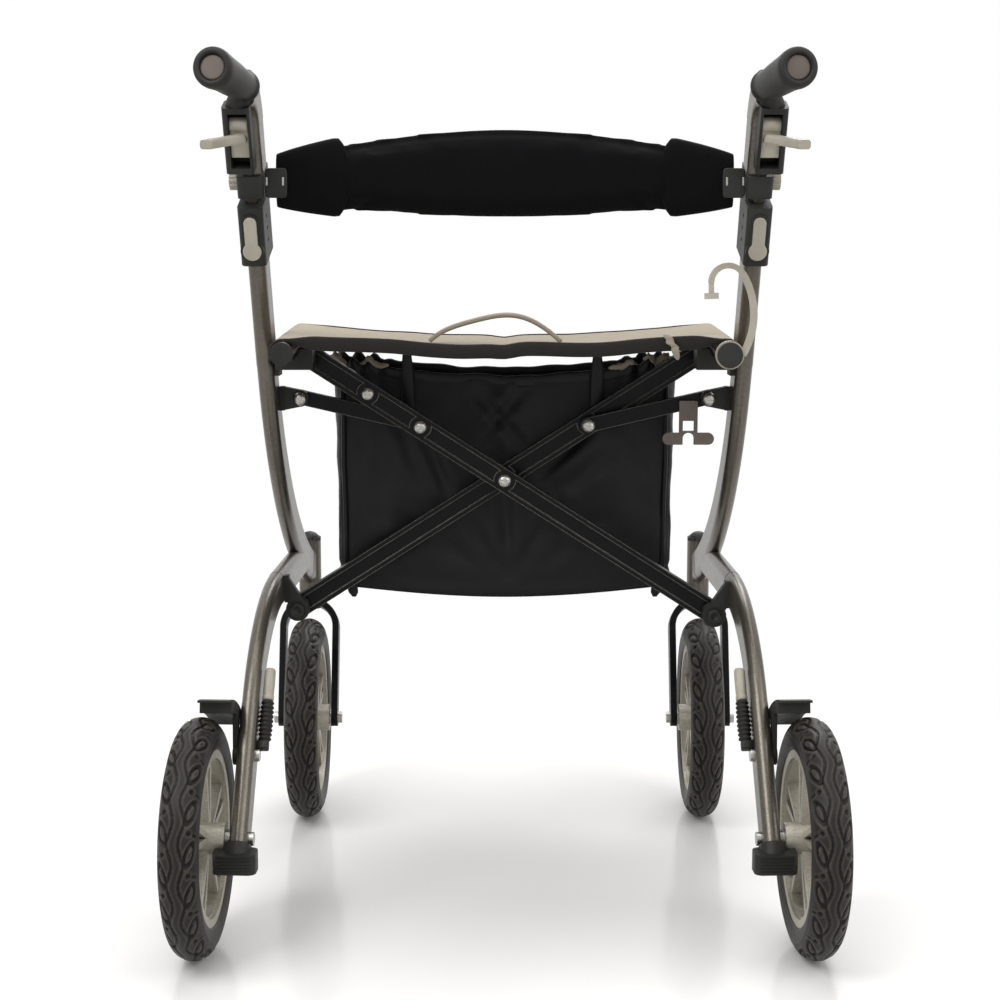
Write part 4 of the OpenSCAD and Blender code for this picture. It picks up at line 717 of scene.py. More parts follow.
PAD_HALF_L, PAD_ROOT_Y, PAD_BOW, PAD_Z = 0.242, -0.0918, 0.034, 0.774
PAD_H, PAD_END_H, PAD_T, PAD_DROOP = 0.106, 0.040, 0.024, 0.008
PAD_HEIGHT_POWER, PAD_END_SHARE, PAD_FILLS = 0.7, 0.55, (0.75, 0.82)
PAD_CORE_SHARE, PAD_SLEEVE_SHARE, PAD_SLEEVE_END = 0.80, 0.70, 0.958
PAD_STATIONS, PAD_SIDES = 60, 32
PAD_START_SHARE, PAD_PRESSURE, PAD_FRAMES, PAD_CAP = 0.86, 4.0, 20, 0.006
PAD_VOXEL = 0.0055
PAD_SEAM_BELOW, PAD_SEAM_W, PAD_SEAM_DEPTH = 0.0135, 0.0032, 0.0022
LOW_SEAM_PLACE_SHARE, LOW_SEAM_DEPTH_SHARE = 0.7, 0.45
SLEEVE_WALL, SLEEVE_PROUD, SLEEVE_BULGE = 0.0018, 0.0010, 0.012
SLEEVE_STATIONS, SLEEVE_TUCK, SLEEVE_TUCK_SHARE = 26, 0.0012, 0.1


def pad_middle_y(share):
    return PAD_ROOT_Y + PAD_BOW * (1 - share * share)


def pad_middle_z(share):
    return PAD_Z - PAD_DROOP * share * share


def pad_half_height(share):
    return PAD_END_H / 2 + (PAD_H - PAD_END_H) / 2 * math.cos(share * math.pi / 2) ** PAD_HEIGHT_POWER


def pad_half_depth(share):
    full = math.sqrt(max(1 - abs(share) ** 4, 0))
    return PAD_T / 2 * (PAD_END_SHARE + (1 - PAD_END_SHARE) * full)


def pad_ring(share, grow):
    """One closed outline across the pad, a flattened oval with fuller edges."""
    middle = Vector((share * PAD_HALF_L, pad_middle_y(share), pad_middle_z(share)))
    pairs = oval(PAD_SIDES, pad_half_depth(share) + grow, pad_half_height(share) + grow, *PAD_FILLS)
    return ring_at(middle, pairs, -Y_AXIS, Z_AXIS)


def read_points(piece):
    flat = np.zeros(len(piece.data.vertices) * 3, np.float32)
    piece.data.vertices.foreach_get("co", flat)
    return flat.reshape(-1, 3).astype(float)


def write_points(piece, points):
    piece.data.vertices.foreach_set("co", points.astype(np.float32).ravel())
    piece.data.update()


def inflate(piece, voxel, pressure, frames, cap):
    """Cloth under air pressure swells the pad from a slightly smaller shape, by no more than the cap."""
    remesh = piece.modifiers.new("remesh", "REMESH")
    remesh.mode = "VOXEL"
    remesh.voxel_size = voxel
    apply_modifiers(piece)
    start = read_points(piece)
    cloth = piece.modifiers.new("cloth", "CLOTH")
    cloth.settings.use_pressure = True
    cloth.settings.uniform_pressure_force = pressure
    cloth.settings.effector_weights.gravity = 0
    cloth.point_cache.frame_start = 1
    cloth.point_cache.frame_end = frames
    for step in range(1, frames + 1):
        bpy.context.scene.frame_set(step)
    apply_modifiers(piece)
    moved = read_points(piece) - start
    reach = np.linalg.norm(moved, axis=1, keepdims=True)
    write_points(piece, start + moved * np.minimum(1, cap / np.maximum(reach, TINY)))
    bpy.context.scene.frame_set(1)
    add_subdivision(piece, 1)
    apply_modifiers(piece)


def crease_pad(piece):
    """Presses a seam below the rolled top edge and a fainter one above the bottom edge, facing the user."""
    points = read_points(piece)
    share = np.clip(points[:, 0] / PAD_HALF_L, -1, 1)
    half = np.array([pad_half_height(s) for s in share])
    near = points[:, 1] < pad_middle_y(share)
    level = points[:, 2] - pad_middle_z(share)
    top = smooth(1.3 - np.abs(level - half + PAD_SEAM_BELOW) / PAD_SEAM_W)
    low = smooth(1.3 - np.abs(level + half - PAD_SEAM_BELOW * LOW_SEAM_PLACE_SHARE) / PAD_SEAM_W)
    seam = np.maximum(top, low * LOW_SEAM_DEPTH_SHARE)
    points[:, 1] += np.where(near, PAD_SEAM_DEPTH * seam, 0)
    write_points(piece, points)


def make_pad():
    shares = np.linspace(-PAD_CORE_SHARE, PAD_CORE_SHARE, PAD_STATIONS)
    shrink = -PAD_T / 2 * (1 - PAD_START_SHARE)
    pad = make_solid("back_pad_cushion", [pad_ring(s, shrink) for s in shares], "pad_cloth", "left_handle")
    inflate(pad, PAD_VOXEL, PAD_PRESSURE, PAD_FRAMES, PAD_CAP)
    crease_pad(pad)
    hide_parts("back_pad")
    sleeves = [make_sleeve(f"back_pad_sleeve_{hand}", side) for hand, side in SIDES]
    for piece in [pad, *sleeves]:
        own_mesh(piece)


def make_sleeve(name, side):
    """A sewn sleeve round the pad's end, open at its outer end, with a curved inner seam."""
    rings = []
    for i in range(SLEEVE_STATIONS):
        t = i / (SLEEVE_STATIONS - 1)
        grow = SLEEVE_PROUD - SLEEVE_TUCK * smooth((t - 1) / SLEEVE_TUCK_SHARE + 1)
        ring = []
        for k in range(PAD_SIDES):
            rise = math.sin(2 * math.pi * k / PAD_SIDES)
            seam = PAD_SLEEVE_SHARE - SLEEVE_BULGE / PAD_HALF_L * (1 - rise * rise)
            share = PAD_SLEEVE_END + (seam - PAD_SLEEVE_END) * t
            ring.append(pad_ring(-share, grow)[k])
        rings.append(ring)
    sleeve = make_piece(name, *loft(rings, False), "pad_cloth", "left_handle", side)
    add_thickness(sleeve, SLEEVE_WALL, 0.0)
    add_subdivision(sleeve, 1)
    apply_modifiers(sleeve)
    return sleeve


# Bag: a sagging lofted shell with its rim, piping, painted-highlight lumps, tabs and hangers

BAG_HALF_W, BAG_HALF_D, BAG_MIDDLE_Y = 0.190, 0.047, 0.102
BAG_TOP, BAG_BOTTOM = 0.560, 0.320
BAG_CORNER_R = 0.020
BAG_ROWS, BAG_COLUMNS, BAG_FLOOR_ROWS = 40, 220, 7
BAG_T, BAG_KEEP = 0.0014, 0.28
BAG_TAPER_SHARE, BAG_WAIST_SHARE = 0.022, 0.008
BAG_SAG, BAG_FAR_SAG_SHARE, BAG_BULGE, BAG_RIM_DIP = 0.014, 0.6, 0.006, 0.007
BAG_WRINKLE, BAG_CREASE = 0.0022, 0.0050
BAG_SEAM_DEPTH, BAG_SEAM_LEVEL, BAG_SEAM_W = 0.0018, 0.925, 0.012
BAG_FLOOR_DROP, BAG_FLOOR_SHARE, BAG_FLOOR_CLOSE = 0.004, 0.9, 0.995
BAG_CLOTH_W, BAG_CLOTH_H, BAG_CLOTH_FLOOR = 0.92, 0.24, 0.2
RIM_DIP_HALF_W, RIM_WAVE, RIM_WAVE_X = 0.11, 0.0018, 40
GATHER_START, GATHER_REACH, GATHER_X = 0.115, 0.05, 330
GATHER_RISE, GATHER_LIFT, GATHER_DEPTH = 0.0045, 0.009, 0.004
RIM_TAPE_H, RIM_TAPE_T, RIM_TAPE_PROUD, RIM_TAPE_SIDES = 0.013, 0.0030, 0.002, 10
PIPING_R, PIPING_SIDES, PIPING_STEPS = 0.0024, 8, 40
PIPING_OUT_SHARE, PIPING_CORNER_SHARE = 0.6, 0.2
BAG_CREASES = (
    ((-0.095, 0.500), (-0.062, 0.425), 0.007, 1.0), ((-0.118, 0.510), (-0.090, 0.440), 0.009, 0.7),
    ((-0.135, 0.470), (-0.140, 0.400), 0.010, 0.5), ((-0.030, 0.535), (0.018, 0.480), 0.007, 0.9),
    ((0.022, 0.540), (-0.026, 0.485), 0.007, 0.8), ((0.040, 0.445), (0.092, 0.495), 0.008, 0.9),
    ((0.060, 0.425), (0.120, 0.470), 0.010, 0.7), ((0.150, 0.500), (0.142, 0.420), 0.010, 0.5),
    ((0.000, 0.335), (-0.052, 0.405), 0.009, 0.8), ((0.004, 0.335), (0.000, 0.425), 0.008, 0.7),
    ((0.010, 0.335), (0.060, 0.410), 0.009, 0.8), ((0.020, 0.335), (0.110, 0.395), 0.011, 0.6),
    ((-0.010, 0.335), (-0.110, 0.390), 0.011, 0.6), ((-0.150, 0.350), (-0.100, 0.375), 0.010, 0.5),
)


def rounded_outline(share, half_w, half_d, radius):
    """A point of a rounded rectangle and its outward direction, by the share of its way round."""
    arc = radius * math.pi / 2
    halves = (half_w - radius, half_d - radius)
    run = share % 1 * 4 * (sum(halves) + arc) + halves[0]
    for turn in range(5):
        heading = math.pi / 2 * (1 - turn)
        out = Vector((math.cos(heading), math.sin(heading)))
        along = Vector((out.y, -out.x))
        half, reach = halves[turn % 2], (half_d, half_w)[turn % 2]
        if run <= 2 * half or turn == 4:
            return out * reach + along * (run - half), out
        run -= 2 * half
        if run <= arc:
            bent = Vector((math.cos(heading - run / radius), math.sin(heading - run / radius)))
            return out * (reach - radius) + along * half + bent * radius, bent
        run -= arc


def crease_at(x, z):
    """How deep the cloth is pulled in at a point of the near or far face."""
    depth = 0.0
    for (x0, z0), (x1, z1), width, strength in BAG_CREASES:
        run = Vector((x1 - x0, z1 - z0))
        t = max(0.0, min(1.0, (Vector((x - x0, z - z0))).dot(run) / run.length_squared))
        off = math.hypot(x - x0 - run.x * t, z - z0 - run.y * t)
        fade = math.sin(math.pi * (0.12 + 0.76 * t))
        depth += strength * fade * math.exp(-(off / width) ** 2)
        depth -= 0.6 * strength * fade * math.exp(-((off - 1.6 * width) / width) ** 2)
    return depth


def gather_at(x):
    """How much the cloth is gathered: 0 between the hangers and 1 at the corners."""
    return float(smooth((abs(x) - GATHER_START) / GATHER_REACH))


def rim_height(x, near):
    """Height of the rim: it hangs between the hangers and gathers at the corners."""
    dip = BAG_RIM_DIP * math.cos(math.pi * x / (2 * RIM_DIP_HALF_W)) if abs(x) < RIM_DIP_HALF_W else 0.0
    gather = (GATHER_RISE * math.sin(x * GATHER_X) + GATHER_LIFT) * gather_at(x)
    return BAG_TOP - dip + gather + RIM_WAVE * drift(x * RIM_WAVE_X, near, 0.4)


def bag_point(share, level):
    """A point of the bag's wall, level 0 at the rim and 1 at the bottom edge, and its outward direction."""
    draw = 1 - BAG_TAPER_SHARE * level - BAG_WAIST_SHARE * math.sin(math.pi * level)
    (x, y), (dx, dy) = rounded_outline(share, BAG_HALF_W * draw, BAG_HALF_D, BAG_CORNER_R)
    top, face = rim_height(x, dy), abs(dy)
    sag = BAG_SAG * math.cos(math.pi * x / (2 * BAG_HALF_W)) * (1 if dy < 0.5 else BAG_FAR_SAG_SHARE)
    z = top + (BAG_BOTTOM - sag - top) * level
    bulge = BAG_BULGE * math.sin(math.pi * min(1, level * 1.05)) * math.cos(math.pi * x / (2.2 * BAG_HALF_W))
    pulled = BAG_CREASE * crease_at(x if dy < 0 else -x, z)
    gather = GATHER_DEPTH * math.sin(x * GATHER_X) * gather_at(x) * (1 - min(1, level * 7))
    wrinkle = BAG_WRINKLE * noise.fractal(Vector((x * 20 + z * 14, y * 20, z * 16 - x * 12)), 1.0, 2.0, 3)
    seam = BAG_SEAM_DEPTH * math.exp(-((level - BAG_SEAM_LEVEL) / BAG_SEAM_W) ** 2)
    off = (bulge - pulled + gather) * face + wrinkle * math.sin(math.pi * min(1, 0.1 + level)) - seam
    return Vector((x + dx * off, BAG_MIDDLE_Y + y + dy * off, z)), Vector((dx, dy, 0))


def near_edge(corner_share):
    """The bag's round as a share, up to a place on the near upright edge."""
    return 0.5 + (BAG_HALF_W - BAG_CORNER_R * corner_share) / (4 * (BAG_HALF_W + BAG_HALF_D))


def make_bag():
    points, uvs = [], []
    for r in range(BAG_ROWS + BAG_FLOOR_ROWS):
        level = min(1.0, r / (BAG_ROWS - 1))
        inward = max(0, r - BAG_ROWS + 1) / BAG_FLOOR_ROWS
        for c in range(BAG_COLUMNS + 1):
            point, _ = bag_point(c / BAG_COLUMNS, level)
            if inward:
                middle = Vector((point.x * BAG_FLOOR_SHARE, BAG_MIDDLE_Y, point.z - BAG_FLOOR_DROP))
                point = point.lerp(middle, inward * BAG_FLOOR_CLOSE)
            points.append(point)
            uvs.append((c / BAG_COLUMNS * BAG_CLOTH_W, (level + inward * BAG_CLOTH_FLOOR) * BAG_CLOTH_H))
    faces = grid_faces(BAG_ROWS + BAG_FLOOR_ROWS, BAG_COLUMNS + 1)
    bag = make_piece("bag_shell", points, faces, "bag_cloth", "sling", uvs=uvs)
    add_thickness(bag, BAG_T, -1.0)
    apply_modifiers(bag)
    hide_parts("bag")
    trims = [make_bag_cord(f"bag_piping_{hand}", side) for hand, side in SIDES]
    trims += [make_bag_rim(), *make_rim_highlight_lumps()]
    trims += [make_bag_tab(f"bag_tab_{hand}", side) for hand, side in SIDES]
    hangers = [make_hanger(f"bag_hanger_{hand}", x) for (hand, _), x in zip(SIDES, HANGER_XS)]
    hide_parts("bag_hangers")
    for piece in [bag, *trims, *hangers]:
        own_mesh(piece)


def make_bag_cord(name, side):
    """The piping that stands out along a near upright edge of the bag."""
    rings = []
    for level in np.linspace(0.02, 0.98, PIPING_STEPS):
        point, direction = bag_point(near_edge(PIPING_CORNER_SHARE), level)
        middle = point + direction * PIPING_R * PIPING_OUT_SHARE
        rings.append(ring_at(middle, oval(PIPING_SIDES, PIPING_R, PIPING_R)))
    return make_solid(name, rings, "bag_cloth", "sling", side)


def make_bag_rim():
    """A folded tape all round the bag's rim."""
    points = []
    pairs = oval(RIM_TAPE_SIDES, RIM_TAPE_T / 2, RIM_TAPE_H / 2, TAPE_FILL)
    for c in range(BAG_COLUMNS):
        point, direction = bag_point(c / BAG_COLUMNS, 0.0)
        middle = point - direction * BAG_T / 2 - Z_AXIS * (RIM_TAPE_H / 2 - RIM_TAPE_PROUD)
        points += ring_at(middle, pairs, direction, Z_AXIS)
    faces = grid_faces(BAG_COLUMNS, RIM_TAPE_SIDES, wrap_rows=True, wrap_columns=True)
    piece = make_piece("bag_rim", points, faces, "bag_cloth", "sling")
    outward(piece)
    return piece


# Pale lumps that paint the highlights on the rim's gathered black cloth: middle x, half length and half
# height of each
RIM_HIGHLIGHT_LUMPS = (
    (-0.184, 0.011, 0.0048), (-0.143, 0.016, 0.0036), (0.130, 0.016, 0.0036), (0.169, 0.017, 0.0050),
)
LUMP_STEPS, LUMP_SIDES, LUMP_CRUMPLE, LUMP_LIFT, LUMP_DEPTH_SHARE = 12, 12, 0.55, 0.0030, 0.7


def make_rim_highlight_lumps():
    """Pale lumps on the bag's near rim, two at each end, as painted highlights on its gathered black cloth.
    """
    rim = [bag_point(c / BAG_COLUMNS, 0.0)[0] for c in range(BAG_COLUMNS)]
    near = [point for point in rim if point.y < BAG_MIDDLE_Y - BAG_HALF_D / 2]
    lumps = []
    for number, (middle_x, half_l, half_h) in enumerate(RIM_HIGHLIGHT_LUMPS, 1):
        rings = []
        for i in range(LUMP_STEPS + 1):
            share = 2 * i / LUMP_STEPS - 1
            x = middle_x + share * half_l
            under = min(near, key=lambda point: abs(point.x - x))
            half = half_h * math.sqrt(1.04 - share * share)
            pairs = oval(LUMP_SIDES, LUMP_DEPTH_SHARE * half, half)
            pairs = crumpled(pairs, LUMP_CRUMPLE, 1.3, i * 1.9, number * 5.1)
            rings.append(ring_at(Vector((x, under.y, under.z + LUMP_LIFT)), pairs, Y_AXIS, Z_AXIS))
        lumps.append(make_solid(f"bag_highlight_lump_{number}", rings, "strap_cloth", "sling", look="lump_cloth"))
    return lumps


TAB_HALF_W, TAB_HALF_T, TAB_LEAN, TAB_OUT, TAB_L = 0.0075, 0.0022, 0.004, 0.002, 0.024
TAB_STEPS, TAB_SIDES, TAB_LEVEL, TAB_CORNER_SHARE = 12, 12, 0.95, 0.4


def make_bag_tab(name, side):
    """A short sewn tab at a lower corner."""
    top, _ = bag_point(near_edge(TAB_CORNER_SHARE), TAB_LEVEL)
    rings = []
    for t in np.linspace(0, 1, TAB_STEPS):
        half = TAB_HALF_W * (1 - 0.35 * t) * (1 - float(smooth((t - 0.8) * 5)) * 0.5)
        middle = top + Vector((TAB_LEAN * t, TAB_OUT * (t - 1), -TAB_L * t))
        rings.append(ring_at(middle, oval(TAB_SIDES, half, TAB_HALF_T)))
    return make_solid(name, rings, "bag_cloth", "sling", side)


HANGER_XS, HANGER_LOW = (-0.106, 0.101), 0.505
HANGER_HALF_W, HANGER_T, HANGER_RIB_SHARE, HANGER_WAIST_SHARE = 0.0075, 0.0018, 0.25, 0.36
HANGER_GAP, HANGER_TOP_OUT, HANGER_LOW_OUT, HANGER_TOP_IN = 0.0030, 0.004, 0.0015, 0.0012
HANGER_SPREAD, HANGER_SEAT_Y, HANGER_STEPS, HANGER_SIDES = 1.01, 0.05, 60, 8


def make_hanger(name, x):
    """Webbing from the seat's underside to the bag's near face, with ribs across it."""
    y = BAG_MIDDLE_Y - BAG_HALF_D - HANGER_GAP
    top = Vector((x * HANGER_SPREAD, y - HANGER_TOP_OUT, seat_height(x, HANGER_SEAT_Y) - HANGER_TOP_IN))
    low = Vector((x, y - HANGER_LOW_OUT, HANGER_LOW))
    rings = []
    for i in range(HANGER_STEPS):
        t = i / (HANGER_STEPS - 1)
        half = HANGER_HALF_W * (1 - HANGER_WAIST_SHARE * float(smooth((t - 0.55) * 3)))
        rib = 1 + HANGER_RIB_SHARE * (i % 2)
        rings.append(ring_at(low.lerp(top, t), oval(HANGER_SIDES, half, HANGER_T / 2 * rib)))
    piece = make_solid(name, rings, "bag_cloth", "sling")
    return piece


# Grips, brake boots and their adjusters

GRIP_PROFILE = (
    (0.0, 0.0060), (0.0118, 0.0060), (0.0150, 0.0070), (0.0160, 0.0095), (0.0158, 0.0125),
    (0.0146, 0.0150), (0.0145, 0.0200), (0.0152, 0.0320), (0.0163, 0.0480), (0.0172, 0.0660),
    (0.0179, 0.0840), (0.0187, 0.1000), (0.0194, 0.1100), (0.0195, 0.1150), (0.0190, 0.1190),
    (0.0176, 0.1214), (0.0150, 0.1222), (0.0132, 0.1216), (0.0124, 0.1200), (0.0122, 0.1170), (0.0, 0.1165),
)
GRIP_STEPS, GRIP_R, GRIP_FLAT_SHARE = 56, 0.0195, 0.97
GRIP_WAVE, GRIP_WAVE_L, GRIP_WAVE_START, GRIP_WAVE_END = 0.0009, 0.022, 0.018, 0.108


def grip_point(point):
    """Flattens the round grip and adds shallow finger waves underneath."""
    wave = 0.0
    if GRIP_WAVE_START < point.z < GRIP_WAVE_END:
        under = max(0.0, point.x) / GRIP_R
        wave = GRIP_WAVE * under * math.sin(2 * math.pi * point.z / GRIP_WAVE_L)
    return GRIP_ROOT @ Vector((point.x * (1 + wave / GRIP_R), point.y * GRIP_FLAT_SHARE, point.z))


def make_grips():
    for hand, side in SIDES:
        points, faces = revolve(GRIP_PROFILE, GRIP_STEPS, Matrix.Identity(4))
        shaped = [grip_point(p) for p in points]
        grip = make_piece(f"{hand}_grip_sleeve", shaped, faces, "grip_rubber", f"{hand}_handle", side)
        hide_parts(f"{hand}_grip")


BOOT_Y, BOOT_Z, BOOT_L, BOOT_RIBS, BOOT_RIB_STEPS = 0.0161, 0.103, 0.044, 9, 8
BOOT_R, BOOT_ROOT_R, BOOT_BULGE, BOOT_RIB_POWER = 0.0066, 0.0047, 0.0008, 0.7
BOOT_LIP = [(0.0, -0.004), (0.0044, -0.004), (0.0046, -0.001)]
BOOT_TURNS = 32
BRACKET_HALF, BRACKET_SIDES, BRACKET_FILL = 0.0045, 24, 0.4
BRACKET_STATIONS = ((0.0206, 0.0), (0.0190, 0.0006), (0.0092, 0.0006), (0.0090, 0.0))
ADJUSTER_PROFILE = (
    (0.0, 0.0), (0.0050, 0.0), (0.0060, 0.0008), (0.0060, 0.0050), (0.0052, 0.0060), (0.0056, 0.0075),
    (0.0058, 0.0200), (0.0056, 0.0330), (0.0045, 0.0350), (0.0, 0.0354),
)


def boot_profile():
    """The bellows' ribs, a little fuller in the middle, between a lip and a closed top."""
    ribs = []
    for t in np.linspace(0, 1, BOOT_RIBS * BOOT_RIB_STEPS + 1):
        rib = 0.5 - 0.5 * math.cos(2 * math.pi * t * BOOT_RIBS)
        radius = BOOT_ROOT_R + (BOOT_R - BOOT_ROOT_R) * rib ** BOOT_RIB_POWER
        ribs.append((radius + BOOT_BULGE * math.sin(math.pi * t), BOOT_L * t))
    return [*BOOT_LIP, *ribs, (0.0, BOOT_L)]


def boot_bracket():
    """Outlines of the rounded bracket that ties the bellows to the leg."""
    rings = []
    for y, grow in BRACKET_STATIONS:
        pairs = oval(BRACKET_SIDES, BRACKET_HALF + grow, BRACKET_HALF + grow, BRACKET_FILL)
        ring = ring_at(Vector((0, y, BOOT_Z - BRACKET_HALF)), pairs, X_AXIS, Z_AXIS)
        rings.append([LEG_FOOT @ p for p in ring])
    return rings


def make_boots():
    """Bellows round the brake linkage, each with its bracket and its pale cable adjuster."""
    for hand, side in SIDES:
        body = f"{hand}_frame"
        bellows = revolve(boot_profile(), BOOT_TURNS, LEG_FOOT @ shift(0, BOOT_Y, BOOT_Z))
        boot = make_piece(f"{hand}_boot_bellows", *bellows, "boot_rubber", body, side)
        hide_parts(f"{hand}_brake_boot")
        make_solid(f"{hand}_boot_bracket", boot_bracket(), "black_plastic", body, side)
        adjuster = revolve(ADJUSTER_PROFILE, BOOT_TURNS, LEG_FOOT @ shift(0, BOOT_Y, BOOT_Z + BOOT_L))
        make_piece(f"{hand}_cable_adjuster", *adjuster, "pale_plastic", body, side)


# Bolt heads, pad clips, grip necks and the cloth's ties

DOME_PROFILE = (
    (0.0, 0.0046), (0.0005, 0.0046), (0.0010, 0.0046), (0.0016, 0.0045), (0.0022, 0.0045), (0.0030, 0.0043),
    (0.0042, 0.0038), (0.0056, 0.0028), (0.0067, 0.0015), (0.0073, 0.0), (0.0073, -0.0010), (0.0, -0.0010),
)
CROSS_REACH, CROSS_HALF_W, CROSS_DEPTH = 0.0030, 0.0007, 0.0005
SOCKET_PROFILE = (
    (0.0, 0.0003), (0.0033, 0.0003), (0.0036, 0.0020), (0.0062, 0.0020), (0.0072, 0.0014), (0.0076, 0.0002),
    (0.0076, -0.0036), (0.0, -0.0036),
)
BOLT_STEPS, SOCKET_STEPS = 64, 36
BRACE_FACE_Y, LINK_FACE_Y, PIN_FACE_Y = -0.0020, 0.0120, 0.0017
PIVOT_Z, LINK_PIN_X, LINK_PIN_Z = 0.299, 0.2205, 0.534
BRACE_Z = (SEAT_Z + PIVOT_Z) / 2
LINK_BOLT_OUT, OUTER_BOLT_OUT = 0.108, 0.175


def on_bar(out, y, side):
    """A place on a cross bar's upper half, by its distance from the middle bolt."""
    slope = math.atan2(SEAT_Z - BRACE_Z, SEAT_TUBE_X)
    return side * out * math.cos(slope), y, BRACE_Z + out * math.sin(slope)


DOMES = (
    ("brace_bolt_middle", "cross_bar_b", (0.0, BRACE_FACE_Y, BRACE_Z)),
    ("brace_bolt_upper", "cross_bar_b", on_bar(LINK_BOLT_OUT, BRACE_FACE_Y, LEFT)),
    ("brace_bolt_outer", "cross_bar_b", on_bar(OUTER_BOLT_OUT, BRACE_FACE_Y, LEFT)),
    ("link_bolt_right", "right_link", on_bar(LINK_BOLT_OUT, LINK_FACE_Y, RIGHT)),
    ("link_pin_cap_left", "left_frame", (-LINK_PIN_X, PIN_FACE_Y, LINK_PIN_Z)),
    ("link_pin_cap_right", "right_frame", (LINK_PIN_X, PIN_FACE_Y, LINK_PIN_Z)),
)
SOCKETS = (
    ("pivot_cap_left", "left_frame", (-SEAT_TUBE_X, 0.0157, PIVOT_Z)),
    ("pivot_cap_right", "right_frame", (SEAT_TUBE_X, -0.0163, PIVOT_Z)),
)


def facing_user(place):
    return shift(*place) @ turned(math.pi / 2, "X")


def crossed(point):
    """Sinks a cross recess into a bolt's dome."""
    inside = math.hypot(point.x, point.y) < CROSS_REACH and point.z > 0
    slot = min(abs(point.x), abs(point.y)) < CROSS_HALF_W
    return point - Vector((0, 0, CROSS_DEPTH if inside and slot else 0))


def make_bolts():
    for name, body, place in DOMES:
        points, faces = revolve(DOME_PROFILE, BOLT_STEPS, Matrix.Identity(4))
        make_piece(name, [facing_user(place) @ crossed(p) for p in points], faces, "steel", body)
    for name, body, place in SOCKETS:
        make_piece(name, *revolve(SOCKET_PROFILE, SOCKET_STEPS, facing_user(place)), "black_plastic", body)


CLIP_MIDDLE, CLIP_HALF, CLIP_EDGE = (-0.23125, 0.7644), (0.01125, 0.0150), 0.0010
CLIP_BACK_Y, CLIP_FRONT_Y = -0.1010, -0.1048
BAR_XS, BAR_Z, BAR_HALF, BAR_EDGE = (-0.2407, -0.2241), 0.7660, (0.0011, 0.0042), 0.0004
BAR_SUNK, BAR_PROUD = 0.0010, 0.0006
CLIP_SIDES, CLIP_FILL = 40, 0.28


def soft_plate(middle, half, y_back, y_front, edge):
    """Outlines of a plate with rounded corners and softened edges, upright and facing the user."""
    stations = ((y_back, 0), (y_front + edge, 0), (y_front + edge * 0.3, edge * 0.3), (y_front, edge))
    rings = []
    for y, inset in stations:
        pairs = oval(CLIP_SIDES, half[0] - inset, half[1] - inset, CLIP_FILL)
        rings.append(ring_at(Vector((middle[0], y, middle[1])), pairs, X_AXIS, Z_AXIS))
    return rings


def make_clips():
    """The plates that close the back pad's ends, each with two steel bars in it."""
    bar_ys = (CLIP_FRONT_Y + BAR_SUNK, CLIP_FRONT_Y - BAR_PROUD)
    for hand, side in SIDES:
        plate = soft_plate(CLIP_MIDDLE, CLIP_HALF, CLIP_BACK_Y, CLIP_FRONT_Y, CLIP_EDGE)
        make_solid(f"{hand}_pad_clip", plate, "black_plastic", f"{hand}_handle", side)
        for name, x in zip(("outer", "inner"), BAR_XS):
            bar = soft_plate((x, BAR_Z), BAR_HALF, *bar_ys, BAR_EDGE)
            make_solid(f"{hand}_pad_clip_bar_{name}", bar, "steel", f"{hand}_handle", side)


TIE_RINGS = (
    ((0.1640, -0.1040, 0.6120), 0.0030), ((0.1665, -0.1065, 0.6085), 0.0048),
    ((0.1690, -0.1050, 0.6060), 0.0036), ((0.1675, -0.1072, 0.6030), 0.0050),
    ((0.1720, -0.1068, 0.6005), 0.0040), ((0.1745, -0.1050, 0.5985), 0.0046),
    ((0.1730, -0.1070, 0.5955), 0.0034), ((0.1755, -0.1058, 0.5925), 0.0042),
    ((0.1760, -0.1045, 0.5880), 0.0028), ((0.1768, -0.1040, 0.5850), 0.0012),
)
TIE_SIDES, TIE_CRUMPLE, TIE_DEPTH_SHARE = 14, 0.0016, 0.45


def make_tie():
    """A crumpled end of cloth that hangs from the seat's near edge at the right."""
    rings = []
    for i, (middle, half) in enumerate(TIE_RINGS):
        pairs = oval(TIE_SIDES, half, TIE_DEPTH_SHARE * half)
        rings.append(ring_at(Vector(middle), crumpled(pairs, TIE_CRUMPLE / half, 1.7, i * 2.3, 0.7)))
    tie = make_solid("seat_tie", rings, "strap_cloth", "cross_bar_a", look="lump_cloth")
    add_subdivision(tie, 1)
    apply_modifiers(tie)


NECK_RINGS = (
    ((0.0305, -0.0052, 0.2860), 0.0100, 0.0100), ((0.0310, -0.0045, 0.2890), 0.0120, 0.0120),
    ((0.0330, -0.0010, 0.2970), 0.0130, 0.0125), ((0.0345, 0.0030, 0.3040), 0.0130, 0.0130),
    ((0.0335, 0.0060, 0.3090), 0.0120, 0.0125),
)
NECK_SIDES = 28


def make_necks():
    """The rubber throat between each lever housing and its grip."""
    for hand, side in SIDES:
        rings = []
        for middle, half_x, half_y in NECK_RINGS:
            ring = ring_at(Vector(middle), oval(NECK_SIDES, half_x, half_y))
            rings.append([POST_TOP @ p for p in ring])
        make_solid(f"{hand}_grip_neck", rings, "grip_rubber", f"{hand}_handle", side)


# Camera, light and floor


def make_camera():
    data = bpy.data.cameras.new("camera")
    data.lens = CAMERA_LENS
    data.sensor_width = CAMERA_SENSOR
    camera = add_object("camera", data)
    camera.location = CAMERA_PLACE
    camera.rotation_euler = (CAMERA_TILT, 0, 0)
    bpy.context.scene.camera = camera


FLOOR_REACH, FLOOR_GLOW = 12.0, 0.03
# Reach of the painted shadow from the floor's middle: full shade inside the first, none past the second
FLOOR_SHADOW_FULL, FLOOR_SHADOW_END = 0.04, 0.46
FLOOR_NEAR, FLOOR_FAR = 0.45, 1.10
WORLD_LIGHT = 0.55


